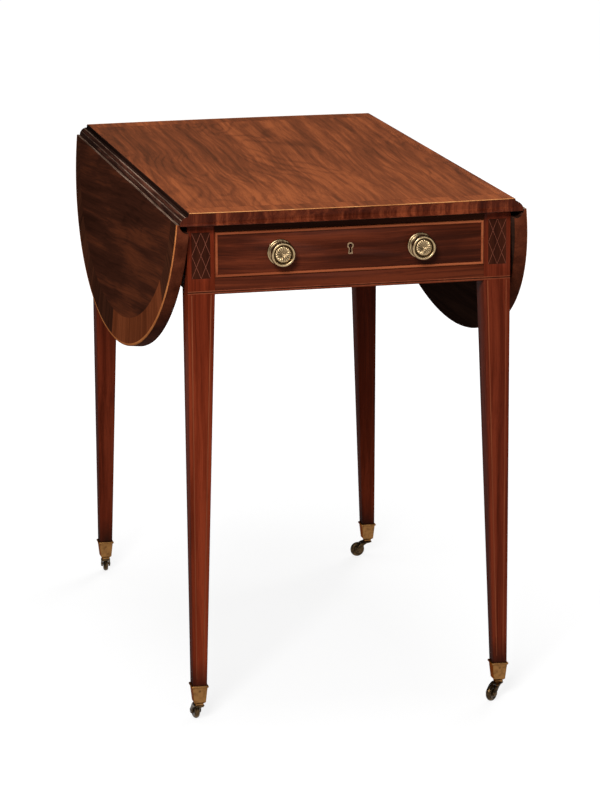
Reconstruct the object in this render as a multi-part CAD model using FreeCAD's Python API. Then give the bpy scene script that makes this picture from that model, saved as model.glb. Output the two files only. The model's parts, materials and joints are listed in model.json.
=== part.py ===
import FreeCAD, Part
import math
import os

# Driving dimensions in millimetres: X across the bed, Y along the leaf joints (drawer end at -Y), Z up.
# The origin is on the floor under the middle of the table.

# Bed and leaves
height = 711.0
bed_width = 448.0
bed_length = 800.0
end_bow = 6.0
top_thickness = 18.0
leaf_reach = 233.0
leaf_leg_clearance = 0.4

# Degrees by which a hanging leaf leans out of plumb, its heel bearing on the legs
leaf_hang_angle = 5.0

# Rule joint between the bed and each leaf
fillet_depth = 4.5
ovolo_radius = 11.3
cove_clearance = 0.5
lip_clearance = 0.6

# Leaf hinges let into the undersides
hinge_spacing = 460.0
hinge_length = 42.0
hinge_knuckles = 3
hinge_plate_thickness = 2.0
bed_plate_reach = 34.0
leaf_plate_reach = 48.0
barrel_radius = 3.2
hinge_pin_radius = 1.6
pin_running_clearance = 0.05
knuckle_gap = 0.3
barrel_clearance = 0.6

# Stringing and inlay let into the legs and apron
veneer_depth = 1.2
string_width = 1.5
leg_string_inset = 4.6
leg_string_foot_gap = 10.0
apron_light_width = 1.2
apron_dark_width = 1.6
apron_string_rise = 1.4
lattice_width = 25.0
lattice_height = 62.0

# Legs and frame
frame_overhang = 18.0
leg_square = 37.0
leg_foot_square = 19.5
apron_depth = 96.0
top_rail_height = 12.0
bottom_rail_height = 22.0
end_rail_thickness = 19.0
side_rail_thickness = 16.5
tenon_thickness = 8.0
end_tenon_length = 19.0
side_tenon_length = 24.0
end_tenon_shoulder = 3.0
side_tenon_height = 52.0
rail_setback = 0.6

# Fly brackets that carry the raised leaves
fly_thickness = 18.0
fly_height = 94.0
fly_pivot_y = -104.0
fly_bracket_length = 232.0
fly_nose_slant = 26.0
fly_toe_height = 34.0
fly_ogee_run = 96.0
fly_ogee_sag = 6.0
fly_fingers = 3
fly_finger_clearance = 0.4
fly_top_clearance = 0.6

# Drawer
drawer_back_room = 124.4
drawer_clearance = 0.7
drawer_front_thickness = 20.0
drawer_side_thickness = 9.0
drawer_side_height = 53.0
drawer_bottom_thickness = 6.0
drawer_groove_depth = 4.0
drawer_groove_rise = 5.0
dovetail_lap = 6.0
dovetail_flare = 2.4
dovetail_count = 3
dovetail_share = 0.56
bead_width = 3.6
bead_proud = 2.4
bead_depth = 4.4
bead_chamfer = 1.2
bead_mitre_gap = 0.1
runner_width = 16.0
runner_height = 14.0
runner_clearance = 0.2
kicker_height = 5.5
dummy_panel_thickness = 7.0

# Drawer knobs
knob_share = 0.522
knob_plate_radius = 18.0
knob_plate_thickness = 2.0
knob_neck_radius = 6.0
knob_reach = 22.0
knob_head_radius = 17.0
knob_head_thickness = 8.0

# Lock and escutcheon
lock_width = 46.0
lock_height = 34.0
lock_thickness = 11.0
lock_inset = 8.0
bolt_width = 18.0
bolt_thickness = 4.6
bolt_height = 22.0
bolt_clearance = 0.3
lock_floor = 1.6
keyhole_raise = 4.0
keyhole_radius = 2.6
keyhole_slot = 3.0
keyhole_height = 12.0
half_neck_share = 0.62
escutcheon_rim = 2.0
escutcheon_depth = 5.0

# Pockets in the side rails for the screws that hold the bed down
pocket_share = 0.62
pocket_width = 15.0
pocket_depth = 11.0
pocket_height = 30.0
pocket_land = 20.0

# Cup casters
cup_top = 54.0
cup_floor = 26.7
cup_top_square = 20.6
cup_foot_square = 16.4
cup_lip_square = 23.4
cup_lip_height = 3.4
cup_base_thickness = 2.6
toe_top_square = 17.2
toe_foot_square = 13.4
toe_gap = 3.4
neck_square = 10.4
neck_height = 2.4
cup_chamfer = 2.6
swivel_pin_radius = 2.0
swivel_clearance = 0.2
horn_plate_thickness = 2.6
horn_arm_thickness = 2.2
horn_eye_radius = 4.2
wheel_radius = 11.5
wheel_width = 8.0
wheel_side_clearance = 0.4
axle_radius = 1.8
caster_trail = 16.5

# Rest headings of the four casters, degrees about Z
caster_headings = {"front_left": 96.0, "front_right": 222.0, "back_left": 80.0, "back_right": 186.0}

overrun = 5.0

# Places worked out from the driving dimensions
joint_x = bed_width / 2
end_y = bed_length / 2
underside = height - top_thickness
pin_z = height - fillet_depth - ovolo_radius
pin_rise = pin_z - underside
cove_radius = ovolo_radius + cove_clearance
leaf_outer_x = joint_x + fillet_depth + ovolo_radius
leaf_inner_x = joint_x - pin_rise
hang_lean = math.radians(leaf_hang_angle)
heel_x = joint_x + cove_radius * math.sin(hang_lean) - pin_rise * math.cos(hang_lean)
leg_x = heel_x - leaf_leg_clearance
leg_y = end_y - frame_overhang
post_x = leg_x - leg_square
post_y = leg_y - leg_square
apron_z = underside - apron_depth
foot_x = leg_x - leg_foot_square / 2
foot_y = leg_y - leg_foot_square / 2
opening_top = underside - top_rail_height
opening_bottom = apron_z + bottom_rail_height
rail_face = leg_y - rail_setback
rail_back = rail_face - end_rail_thickness
drawer_x = post_x - drawer_clearance
drawer_top = opening_top - drawer_clearance
drawer_bottom = opening_bottom + drawer_clearance
drawer_mid = (drawer_top + drawer_bottom) / 2
drawer_face = -leg_y
drawer_inside = drawer_face + drawer_front_thickness
drawer_end = rail_back - drawer_back_room
side_inner_x = drawer_x - drawer_side_thickness
side_top = drawer_bottom + drawer_side_height
groove_z = drawer_bottom + drawer_groove_rise
floor_top = groove_z + drawer_bottom_thickness
fly_inner_x = post_x + side_rail_thickness
fly_outer_x = fly_inner_x + fly_thickness
fly_mid_x = (fly_inner_x + fly_outer_x) / 2
fly_top = underside - fly_top_clearance
fly_foot = fly_top - fly_height
knob_x = drawer_x * knob_share
bolt_y = drawer_inside - lock_inset + lock_thickness / 2
hinge_ys = (-hinge_spacing / 2, hinge_spacing / 2)


def at(x, y, z):
    """Point in the table's frame."""
    return FreeCAD.Vector(x, y, z)


def in_xz(a, b):
    """Point of an upright plane across the bed."""
    return at(a, 0, b)


def in_yz(a, b):
    """Point of an upright plane along the bed."""
    return at(0, a, b)


def in_xy(a, b):
    """Point of a level plane."""
    return at(a, b, 0)


def block(x0, x1, y0, y1, z0, z1):
    """Square-edged block between two corners."""
    return Part.makeBox(x1 - x0, y1 - y0, z1 - z0, at(x0, y0, z0))


def rod(radius, start, end):
    """Round rod between two points."""
    run = end - start
    return Part.makeCylinder(radius, run.Length, start, run)


def outline(place, start, steps):
    """Face whose steps are lines to one point, or arcs through one point to another."""
    edges = []
    here = place(*start)
    for step in steps:
        points = [place(*point) for point in step]
        if len(points) == 1:
            edges.append(Part.LineSegment(here, points[0]).toShape())
        else:
            edges.append(Part.Arc(here, points[0], points[1]).toShape())
        here = points[-1]
    return Part.Face(Part.Wire(edges))


def polygon(place, points):
    """Face with straight sides."""
    return outline(place, points[0], [[point] for point in points[1:] + points[:1]])


def turned(steps, start, base, axis):
    """Solid of revolution from (radius, distance along the axis) steps, set at base along axis."""
    solid = outline(in_xz, start, steps).revolve(at(0, 0, 0), at(0, 0, 1), 360)
    solid.Placement = FreeCAD.Placement(base, FreeCAD.Rotation(at(0, 0, 1), axis))
    return solid


def square_turned(half_widths, x, y):
    """Solid of square section about an upright line, from (half width, height) pairs."""
    ring = list(half_widths) + [(-half, z) for half, z in reversed(half_widths)]
    reach = max(half for half, _ in half_widths)
    across = polygon(in_xz, ring).extrude(at(0, 2 * reach, 0))
    along = polygon(in_yz, ring).extrude(at(2 * reach, 0, 0))
    across.translate(at(0, -reach, 0))
    along.translate(at(-reach, 0, 0))
    solid = across.common(along)
    solid.translate(at(x, y, 0))
    return solid


def flip_x(shape):
    """The same piece on the other side of the bed."""
    return shape.mirror(at(0, 0, 0), at(1, 0, 0))


def flip_y(shape):
    """The same piece at the other end of the bed."""
    return shape.mirror(at(0, 0, 0), at(0, 1, 0))


def both_sides(shapes):
    """Pieces and their copies on the other side."""
    return list(shapes) + [flip_x(shape) for shape in shapes]


def both_ends(shapes):
    """Pieces and their copies at the other end."""
    return list(shapes) + [flip_y(shape) for shape in shapes]


def save(name, *pieces):
    """Write one node, whose separate pieces stay separate solids."""
    solids = [solid for piece in pieces for solid in piece.Solids]
    shape = solids[0] if len(solids) == 1 else Part.makeCompound(solids)
    shape.exportStep("parts/" + name + ".step")


# Bed top, its bowed ends and the rule-joint edge

def bow_y(x):
    """Place of the bowed front end at a distance from the middle line."""
    radius = (joint_x ** 2 + end_bow ** 2) / (2 * end_bow)
    return -end_y - end_bow + radius - math.sqrt(radius ** 2 - x ** 2)


def bed_plan(reach):
    """Bed seen from above as a block: straight along the leaves and bowed at both ends."""
    near = bow_y(reach)
    start = (-reach, near)
    steps = [
        [(0, bow_y(0)), (reach, near)],
        [(reach, -near)],
        [(0, -bow_y(0)), (-reach, -near)],
        [start],
    ]
    plan = outline(in_xy, start, steps).extrude(at(0, 0, height))
    return plan


def rule_edge_section():
    """Cross section of the bed with its two rounded rule-joint edges."""
    turn = ovolo_radius * math.sqrt(0.5)
    shoulder = height - fillet_depth
    toe = joint_x + ovolo_radius
    steps = [
        [(joint_x, height)],
        [(joint_x, shoulder)],
        [(joint_x + turn, pin_z + turn), (toe, pin_z)],
        [(toe, underside)],
        [(-toe, underside)],
        [(-toe, pin_z)],
        [(-joint_x - turn, pin_z + turn), (-joint_x, shoulder)],
        [(-joint_x, height)],
    ]
    return outline(in_xz, (-joint_x, height), steps)


def hinge_seat(y):
    """Rooms in the bed's underside for one right-hand hinge and the swing of its leaf plate."""
    half = hinge_length / 2
    room = barrel_radius + barrel_clearance
    wide = half + barrel_clearance
    low = underside - overrun
    lip = joint_x + ovolo_radius + overrun
    plate = block(joint_x - bed_plate_reach, joint_x, y - half, y + half,
                  low, underside + hinge_plate_thickness)
    barrel = block(joint_x - room, joint_x + room, y - wide, y + wide, low, pin_z + room)
    swing = block(joint_x, lip, y - wide, y + wide, low, pin_z + barrel_clearance)
    return [plate, barrel, swing]


def bed_top():
    """Bed board with rule-joint edges, bowed ends and hinge seats."""
    long = end_y + end_bow + overrun
    board = rule_edge_section().extrude(at(0, 2 * long, 0))
    board.translate(at(0, -long, 0))
    board = board.common(bed_plan(joint_x + ovolo_radius + overrun))
    rooms = [room for y in hinge_ys for room in hinge_seat(y)]
    return board.cut(both_sides(rooms)).removeSplitter()


# Drop leaves

def leaf_plan():
    """Hanging leaf's outline: half an oval below the joint."""
    oval = Part.Ellipse(in_yz(end_y, pin_z), in_yz(0, pin_z - leaf_reach), in_yz(0, pin_z))
    joint = Part.LineSegment(in_yz(-end_y, pin_z), in_yz(end_y, pin_z)).toShape()
    return Part.Face(Part.Wire([oval.toShape(0, math.pi), joint]))


def leaf_cove():
    """Room for the rule joint's rounded edge along the leaf's top end."""
    hollow = rod(cove_radius, at(joint_x, -bed_length, pin_z), at(joint_x, bed_length, pin_z))
    heel = block(leaf_inner_x - overrun, joint_x, -bed_length, bed_length, pin_z - cove_radius, height)
    return hollow.fuse(heel)


def leaf_hinge_seat(y):
    """Recess for one hinge plate in the leaf's inner face."""
    half = hinge_length / 2
    return block(leaf_inner_x, leaf_inner_x + hinge_plate_thickness, y - half, y + half,
                 pin_z - leaf_plate_reach, pin_z)


def leaf_board():
    """Right-hand leaf, drawn plumb, stopped short of the joint's fillet at its lip."""
    slab = leaf_plan().extrude(at(leaf_outer_x - leaf_inner_x, 0, 0))
    slab.translate(at(leaf_inner_x, 0, 0))
    lip = block(joint_x, leaf_outer_x, -end_y, end_y, pin_z - lip_clearance, pin_z)
    return slab.cut([leaf_cove(), lip] + [leaf_hinge_seat(y) for y in hinge_ys])


def hung(piece):
    """Right-hand leaf piece swung about its hinge pins from plumb to the hanging lean."""
    swung = piece.copy()
    swung.rotate(at(joint_x, 0, pin_z), at(0, 1, 0), -leaf_hang_angle)
    return swung


# Leaf hinges

def knuckle_ends(y, number):
    """Two ends of one of a hinge's knuckles."""
    pitch = hinge_length / hinge_knuckles
    low = y - hinge_length / 2 + number * pitch
    return low, low + pitch


def knuckle(y, number):
    """Solid barrel of one knuckle, short of its neighbours by half the gap."""
    low, high = knuckle_ends(y, number)
    half_gap = knuckle_gap / 2
    return rod(barrel_radius, at(joint_x, low + half_gap, pin_z), at(joint_x, high - half_gap, pin_z))


def knuckle_room(y, number):
    """Room in one plate for a knuckle of the other."""
    low, high = knuckle_ends(y, number)
    room = barrel_radius + knuckle_gap
    return block(joint_x - room, joint_x + room, low - knuckle_gap / 2, high + knuckle_gap / 2,
                 pin_z - room, pin_z + room)


def hinge_pin(y, radius):
    """Pin through a right-hand hinge's knuckles, or its bore."""
    low, _ = knuckle_ends(y, 0)
    _, high = knuckle_ends(y, hinge_knuckles - 1)
    return rod(radius, at(joint_x, low + knuckle_gap, pin_z), at(joint_x, high - knuckle_gap, pin_z))


def bed_hinge_plate(y):
    """Right-hand hinge's plate under the bed, with its outer knuckles and the pin riveted in them."""
    half = hinge_length / 2
    plate = block(joint_x - bed_plate_reach, joint_x, y - half, y + half,
                  underside, underside + hinge_plate_thickness)
    plate = plate.cut([knuckle_room(y, number) for number in range(1, hinge_knuckles, 2)])
    barrels = [knuckle(y, number) for number in range(0, hinge_knuckles, 2)]
    return plate.fuse(barrels + [hinge_pin(y, hinge_pin_radius)]).removeSplitter()


def leaf_hinge_plate(y):
    """Right-hand hinge's plate on the hanging leaf, with the middle knuckle that turns on the pin."""
    plate = leaf_hinge_seat(y).cut([knuckle_room(y, number) for number in range(0, hinge_knuckles, 2)])
    barrels = [knuckle(y, number) for number in range(1, hinge_knuckles, 2)]
    return plate.fuse(barrels).cut(hinge_pin(y, hinge_pin_radius + pin_running_clearance))


# Legs with their inlay

def leg_outline():
    """Half of a front leg's shape: plumb outside, tapered inside, shouldered at the toe."""
    toe_z = cup_floor + cup_base_thickness + toe_gap
    return [
        (0, underside),
        (leg_square, underside),
        (leg_square, apron_z),
        (leg_foot_square, cup_top),
        ((leg_foot_square + toe_top_square) / 2, cup_top),
        ((leg_foot_square + toe_foot_square) / 2, toe_z),
        ((leg_foot_square - toe_foot_square) / 2, toe_z),
        ((leg_foot_square - toe_top_square) / 2, cup_top),
        (0, cup_top),
    ]


def leg_blank():
    """Front right leg before its mortises and inlay."""
    across = polygon(in_xz, [(leg_x - inward, z) for inward, z in leg_outline()])
    along = polygon(in_yz, [(-leg_y + inward, z) for inward, z in leg_outline()])
    across = across.extrude(at(0, leg_square, 0))
    across.translate(at(0, -leg_y, 0))
    along = along.extrude(at(leg_square, 0, 0))
    along.translate(at(post_x, 0, 0))
    return across.common(along)


def leg_inner_x(z):
    """Inner edge of a front leg's show face at a height below the apron."""
    share = (apron_z - z) / (apron_z - cup_top)
    return post_x + share * (leg_square - leg_foot_square)


def leg_strings():
    """Two light lines down the show face of the front right leg, meeting the taper's edges."""
    low = cup_top + leg_string_foot_gap
    outer = leg_x - leg_string_inset
    upper = leg_inner_x(apron_z) + leg_string_inset
    lower = leg_inner_x(low) + leg_string_inset
    strips = []
    for head, foot, width in ((outer, outer, -string_width), (upper, lower, string_width)):
        ring = [(head, apron_z), (head + width, apron_z), (foot + width, low), (foot, low)]
        strip = polygon(in_xz, ring).extrude(at(0, veneer_depth, 0))
        strip.translate(at(0, -leg_y, 0))
        strips.append(strip)
    return strips


def apron_line(offset, width, reach):
    """Line across the drawer end just above the apron's lower edge."""
    low = apron_z + apron_string_rise + offset
    return block(-reach, reach, -leg_y, -leg_y + veneer_depth, low, low + width)


def apron_lights():
    """The two light lines of the apron's three-line string."""
    upper = apron_light_width + apron_dark_width
    return [apron_line(0, apron_light_width, leg_x), apron_line(upper, apron_light_width, leg_x)]


def apron_dark():
    """The dark line between them."""
    return apron_line(apron_light_width, apron_dark_width, leg_x)


def lattice_panel():
    """Dark panel let into the front right post, beside the drawer."""
    mid_x = (post_x + leg_x) / 2
    half = lattice_width / 2
    tall = lattice_height / 2
    return block(mid_x - half, mid_x + half, -leg_y, -leg_y + veneer_depth,
                 drawer_mid - tall, drawer_mid + tall)


def end_tenons():
    """Tenons of the two front rails that enter the front right post."""
    mid_y = -(rail_face + rail_back) / 2
    half = tenon_thickness / 2
    tenons = []
    for low, high in ((opening_top, underside), (apron_z, opening_bottom)):
        tenons.append(block(post_x, post_x + end_tenon_length, mid_y - half, mid_y + half,
                            low + end_tenon_shoulder, high - end_tenon_shoulder))
    return tenons


def back_tenon():
    """Tenon of the full back rail, drawn at the front right post."""
    mid_y = -(rail_face + rail_back) / 2
    half = tenon_thickness / 2
    return block(post_x, post_x + end_tenon_length, mid_y - half, mid_y + half,
                 opening_bottom + end_tenon_shoulder, opening_top - end_tenon_shoulder)


def side_tenon(stop):
    """Tenon of the side rail that enters the front right post from behind, as far as a stop."""
    mid_x = post_x + side_rail_thickness / 2
    half = tenon_thickness / 2
    mid_z = (opening_top + opening_bottom) / 2
    tall = side_tenon_height / 2
    return block(mid_x - half, mid_x + half, stop, -post_y, mid_z - tall, mid_z + tall)


def side_tenon_front():
    """Side rail's full tenon, between those of the two front rails."""
    return side_tenon(-post_y - side_tenon_length)


def side_tenon_back():
    """Side rail's tenon at the back, stopped by the back rail's tenon and drawn at the front."""
    return side_tenon(-(rail_face + rail_back) / 2 + tenon_thickness / 2)


def leg_inlay():
    """Everything that is let into the front right leg's show face."""
    return leg_strings() + apron_lights() + [apron_dark(), lattice_panel()]


def front_leg():
    """Front right leg."""
    return leg_blank().cut(end_tenons() + [side_tenon_front()] + leg_inlay())


def back_leg():
    """Back right leg, drawn at the front and turned to the back."""
    return flip_y(leg_blank().cut([back_tenon(), side_tenon_back()] + leg_inlay()))


# Rails

def pocket():
    """Chopped pocket in the right side rail, for a screw up into the bed."""
    seat = underside - pocket_land
    y = post_y * pocket_share
    half = pocket_width / 2
    return block(post_x, post_x + pocket_depth, y - half, y + half, seat - pocket_height, seat)


def top_rail():
    """Thin front rail over the drawer; the lock's bolt shoots up behind it."""
    back = bolt_y - bolt_thickness / 2 - bolt_clearance
    rail = block(-post_x, post_x, -rail_face, back, opening_top, underside)
    upper = [tenon for tenon in end_tenons() if tenon.BoundBox.ZMin > drawer_mid]
    return rail.fuse(both_sides(upper))


def bottom_rail():
    """Front rail under the drawer."""
    rail = block(-post_x, post_x, -leg_y, -rail_back, apron_z, opening_bottom)
    lower = [tenon for tenon in end_tenons() if tenon.BoundBox.ZMin < drawer_mid]
    return rail.fuse(both_sides(lower)).cut(apron_lights() + [apron_dark()])


def back_rail():
    """Full rail of the far end, recessed for the dummy drawer front."""
    rail = block(-post_x, post_x, -leg_y, -rail_back, apron_z, underside)
    rail = flip_y(rail.fuse(both_sides([back_tenon()])))
    inlay = [flip_y(line) for line in apron_lights() + [apron_dark()]]
    return rail.cut(inlay + [dummy_blank()])


def side_rail():
    """Right side rail inside the fly bracket."""
    rail = block(post_x, fly_inner_x, -post_y, post_y, apron_z, underside)
    rail = rail.fuse([side_tenon_front(), flip_y(side_tenon_back())])
    return rail.cut(both_ends([pocket()]))


# Fly bracket and its wooden knuckle joint

def fly_knuckle(radius, parity):
    """Every second finger of the wooden knuckle."""
    pitch = fly_height / fly_fingers
    fingers = []
    for number in range(fly_fingers):
        if number % 2 == parity:
            foot = at(fly_mid_x, fly_pivot_y, fly_foot + number * pitch)
            fingers.append(rod(radius, foot, foot + at(0, 0, pitch)))
    return fingers


def fly_side(points):
    """Piece of the outer rail from its side view."""
    piece = polygon(in_yz, points).extrude(at(fly_thickness, 0, 0))
    piece.translate(at(fly_inner_x, 0, 0))
    return piece


def fly_bracket():
    """Right-hand bracket that swings out under the raised leaf, closed."""
    nose = fly_pivot_y + fly_bracket_length
    toe_y = nose - fly_nose_slant
    toe = fly_top - fly_toe_height
    heel_y = toe_y - fly_ogee_run
    mid_y = (toe_y + heel_y) / 2
    mid_z = (toe + fly_foot) / 2
    start = (fly_pivot_y, fly_top)
    steps = [
        [(nose, fly_top)],
        [(toe_y, toe)],
        [((toe_y + mid_y) / 2, (toe + mid_z) / 2 + fly_ogee_sag), (mid_y, mid_z)],
        [((mid_y + heel_y) / 2, (mid_z + fly_foot) / 2 - fly_ogee_sag), (heel_y, fly_foot)],
        [(fly_pivot_y, fly_foot)],
        [start],
    ]
    arm = outline(in_yz, start, steps).extrude(at(fly_thickness, 0, 0))
    arm.translate(at(fly_inner_x, 0, 0))
    arm = arm.cut(fly_knuckle(fly_thickness / 2 + fly_finger_clearance, 0))
    return arm.fuse(fly_knuckle(fly_thickness / 2, 1)).removeSplitter()


def hinge_rail():
    """Fixed ends of the right outer rail: the knuckle's half and the seat of the bracket's nose."""
    near = fly_side([(-post_y, fly_foot), (fly_pivot_y, fly_foot),
                     (fly_pivot_y, fly_top), (-post_y, fly_top)])
    near = near.cut(fly_knuckle(fly_thickness / 2 + fly_finger_clearance, 1))
    near = near.fuse(fly_knuckle(fly_thickness / 2, 0)).removeSplitter()
    nose = fly_pivot_y + fly_bracket_length + fly_finger_clearance
    toe_y = nose - fly_nose_slant
    far = fly_side([(nose, fly_top), (post_y, fly_top), (post_y, fly_foot), (toe_y, fly_foot),
                    (toe_y, fly_top - fly_toe_height)])
    return [near, far]


# Drawer

def tails(start, end):
    """Right side's dovetails, flaring from start to end along the drawer."""
    pitch = drawer_side_height / dovetail_count
    half = pitch * dovetail_share / 2
    shapes = []
    for number in range(dovetail_count):
        z = drawer_bottom + (number + 0.5) * pitch
        ring = [(start, z - half + dovetail_flare / 2), (end, z - half - dovetail_flare / 2),
                (end, z + half + dovetail_flare / 2), (start, z + half - dovetail_flare / 2)]
        tail = polygon(in_yz, ring).extrude(at(drawer_side_thickness, 0, 0))
        tail.translate(at(side_inner_x, 0, 0))
        shapes.append(tail)
    return shapes


def front_tails():
    """Lapped dovetails into the drawer's front."""
    return tails(drawer_inside, drawer_face + dovetail_lap)


def back_tails():
    """Through dovetails into the drawer's back."""
    return tails(drawer_end - drawer_side_thickness, drawer_end)


def drawer_floor():
    """Bottom board, grooved into the sides and front and run out under the back."""
    reach = side_inner_x + drawer_groove_depth
    return block(-reach, reach, drawer_inside - drawer_groove_depth, drawer_end, groove_z, floor_top)


def drawer_side():
    """Right drawer side."""
    board = block(side_inner_x, drawer_x, drawer_inside, drawer_end - drawer_side_thickness,
                  drawer_bottom, side_top)
    return board.fuse(front_tails() + back_tails()).removeSplitter().cut(drawer_floor())


def drawer_back():
    """Drawer back, standing on the bottom board."""
    board = block(-drawer_x, drawer_x, drawer_end - drawer_side_thickness, drawer_end,
                  drawer_bottom, side_top)
    under = block(-bed_width, bed_width, drawer_inside, drawer_end + overrun,
                  drawer_bottom - overrun, floor_top)
    return board.cut(both_sides(back_tails()) + [under])


def drawer_front():
    """Drawer front with sockets for dovetails, beads, lock and escutcheon."""
    board = block(-drawer_x, drawer_x, drawer_face, drawer_inside, drawer_bottom, drawer_top)
    cuts = both_sides(front_tails()) + [drawer_floor(), lock_block(), escutcheon_block()]
    return board.cut(cuts + [bead_rebate()])


def bead_strip(ring, edges_along):
    """One mitred strip of the bead round the drawer, its long edges eased where it stands proud."""
    strip = polygon(in_xz, ring).extrude(at(0, bead_proud + bead_depth, 0))
    face = drawer_face - bead_proud
    strip.translate(at(0, face, 0))
    front = [edge for edge in strip.Edges if edge.BoundBox.YMax < face + bead_proud / 2]
    nose = [edge for edge in front if getattr(edge.BoundBox, edges_along) > drawer_side_height / 2]
    return strip.makeChamfer(bead_chamfer, nose)


def bead_strips():
    """Cock bead: two long strips and two short ones, mitred at the corners."""
    x, top, low, wide = drawer_x, drawer_top, drawer_bottom, bead_width
    long = x - bead_mitre_gap
    upper = [(-long, top), (long, top), (long - wide, top - wide), (-long + wide, top - wide)]
    lower = [(-long, low), (long, low), (long - wide, low + wide), (-long + wide, low + wide)]
    right = [(x, top), (x, low), (x - wide, low + wide), (x - wide, top - wide)]
    short = bead_strip(right, "ZLength")
    return [bead_strip(upper, "XLength"), bead_strip(lower, "XLength"), short, flip_x(short)]


def bead_rebate():
    """Rebate round the drawer front's face that the beads lie in."""
    x, wide, back = drawer_x - bead_width, bead_width, drawer_face + bead_depth
    outer = block(-drawer_x, drawer_x, drawer_face, back, drawer_bottom, drawer_top)
    return outer.cut(block(-x, x, drawer_face, back, drawer_bottom + wide, drawer_top - wide))


def runners():
    """Runners under the drawer's sides and kickers over them."""
    low = drawer_bottom - runner_clearance - runner_height
    runner = block(post_x - runner_width, post_x, -rail_back, rail_back, low, low + runner_height)
    kicker_low = side_top + drawer_clearance
    kicker = block(post_x - runner_width, post_x, drawer_inside + drawer_clearance, rail_back,
                   kicker_low, kicker_low + kicker_height)
    return both_sides([runner, kicker])


def dummy_blank():
    """Dummy drawer front of the far end, without its bead."""
    return flip_y(block(-drawer_x, drawer_x, drawer_face, drawer_face + dummy_panel_thickness,
                        drawer_bottom, drawer_top))


def dummy_beads():
    """Bead round the dummy drawer front."""
    return [flip_y(strip) for strip in bead_strips()]


def dummy_front():
    """Dummy drawer front, rebated for its bead."""
    return dummy_blank().cut(flip_y(bead_rebate()))


# Knobs

def knob():
    """Right-hand stamped knob: round plate on the drawer's face, neck and head."""
    back = knob_reach - knob_head_thickness
    start = (0, 0)
    steps = [
        [(knob_plate_radius, 0)],
        [(knob_plate_radius, knob_plate_thickness)],
        [(knob_neck_radius, knob_plate_thickness)],
        [(knob_neck_radius, back)],
        [(knob_head_radius, back)],
        [(knob_head_radius, knob_reach)],
        [(0, knob_reach)],
        [start],
    ]
    return turned(steps, start, at(knob_x, drawer_face, drawer_mid), at(0, -1, 0))


def drawer_knobs():
    """The drawer's two knobs."""
    return both_sides([knob()])


# Lock

def lock_block():
    """Outside of the lock, let into the drawer front's back and top edge."""
    half = lock_width / 2
    face = drawer_inside - lock_inset
    return block(-half, half, face, face + lock_thickness, drawer_top - lock_height, drawer_top)


def bolt_block(clearance, low, high):
    """Room of the lock's bolt between two heights."""
    half = bolt_width / 2 + clearance
    thick = bolt_thickness / 2 + clearance
    return block(-half, half, bolt_y - thick, bolt_y + thick, low, high)


def lock_bolt():
    """Bolt, drawn down flush with the lock's top."""
    return bolt_block(0, drawer_top - bolt_height, drawer_top)


def lock_case():
    """Lock case with the bolt's slot."""
    low = drawer_top - lock_height + lock_floor
    slot = bolt_block(bolt_clearance, low, drawer_top + overrun)
    return lock_block().cut(slot)


def keyhole_face(grow):
    """Keyhole: a round head over a flaring slot."""
    head_z = drawer_mid + keyhole_raise
    radius = keyhole_radius + grow
    half = keyhole_slot / 2 + grow
    foot = head_z + keyhole_radius - keyhole_height - grow
    drop = math.sqrt(radius ** 2 - (half * half_neck_share) ** 2)
    neck = half * half_neck_share
    steps = [
        [(0, head_z + radius), (neck, head_z - drop)],
        [(half, foot)],
        [(-half, foot)],
        [(-neck, head_z - drop)],
    ]
    return outline(in_xz, (-neck, head_z - drop), steps)


def keyhole(grow, depth):
    """Keyhole cut to a depth behind the drawer's face."""
    hole = keyhole_face(grow).extrude(at(0, depth, 0))
    hole.translate(at(0, drawer_face, 0))
    return hole


def escutcheon_block():
    """Outside of the keyhole's lining."""
    return keyhole(escutcheon_rim, escutcheon_depth)


def escutcheon():
    """Brass lining of the keyhole."""
    return escutcheon_block().cut(keyhole(0, escutcheon_depth))


# Casters, drawn under the front right leg unless a foot is given

def toe_socket():
    """Inside of a caster's cup."""
    low = cup_floor + cup_base_thickness
    toe_z = low + toe_gap
    profile = [(toe_foot_square / 2, low), (toe_foot_square / 2, toe_z), (toe_top_square / 2, cup_top)]
    return square_turned(profile, foot_x, -foot_y)


def caster_cup():
    """Square tapered cup with a moulded lip, drawn in to a short neck below."""
    lip = cup_top - cup_lip_height
    quarter = cup_lip_height / 4
    half = cup_top_square / 2
    proud = cup_lip_square / 2
    mid = (half + proud) / 2
    profile = [(neck_square / 2, cup_floor - neck_height), (neck_square / 2, cup_floor),
               (cup_foot_square / 2, cup_floor + cup_chamfer), (half, lip), (mid, lip),
               (proud, lip + quarter), (proud, cup_top - quarter), (mid, cup_top)]
    cup = square_turned(profile, foot_x, -foot_y)
    low = at(foot_x, -foot_y, cup_floor - neck_height - overrun)
    bore = rod(swivel_pin_radius + pin_running_clearance, low, at(foot_x, -foot_y, cup_top))
    return cup.cut([toe_socket(), bore])


def caster_horn():
    """Swivelling horn along +X: forked casting, riveted pin and the wheel's axle."""
    top = cup_floor - neck_height - swivel_clearance
    low = top - horn_plate_thickness
    inner = wheel_width / 2 + wheel_side_clearance
    outer = inner + horn_arm_thickness
    tip = cup_floor + cup_base_thickness + swivel_clearance
    well = block(-outer, 2 * caster_trail, -inner, inner, 0, low)
    axle = rod(axle_radius, at(caster_trail, -outer, wheel_radius), at(caster_trail, outer, wheel_radius))
    pin = rod(swivel_pin_radius, at(0, 0, low), at(0, 0, tip))
    return horn_casting(outer, low, top).cut(well).fuse([axle, pin]).removeSplitter()


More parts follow.
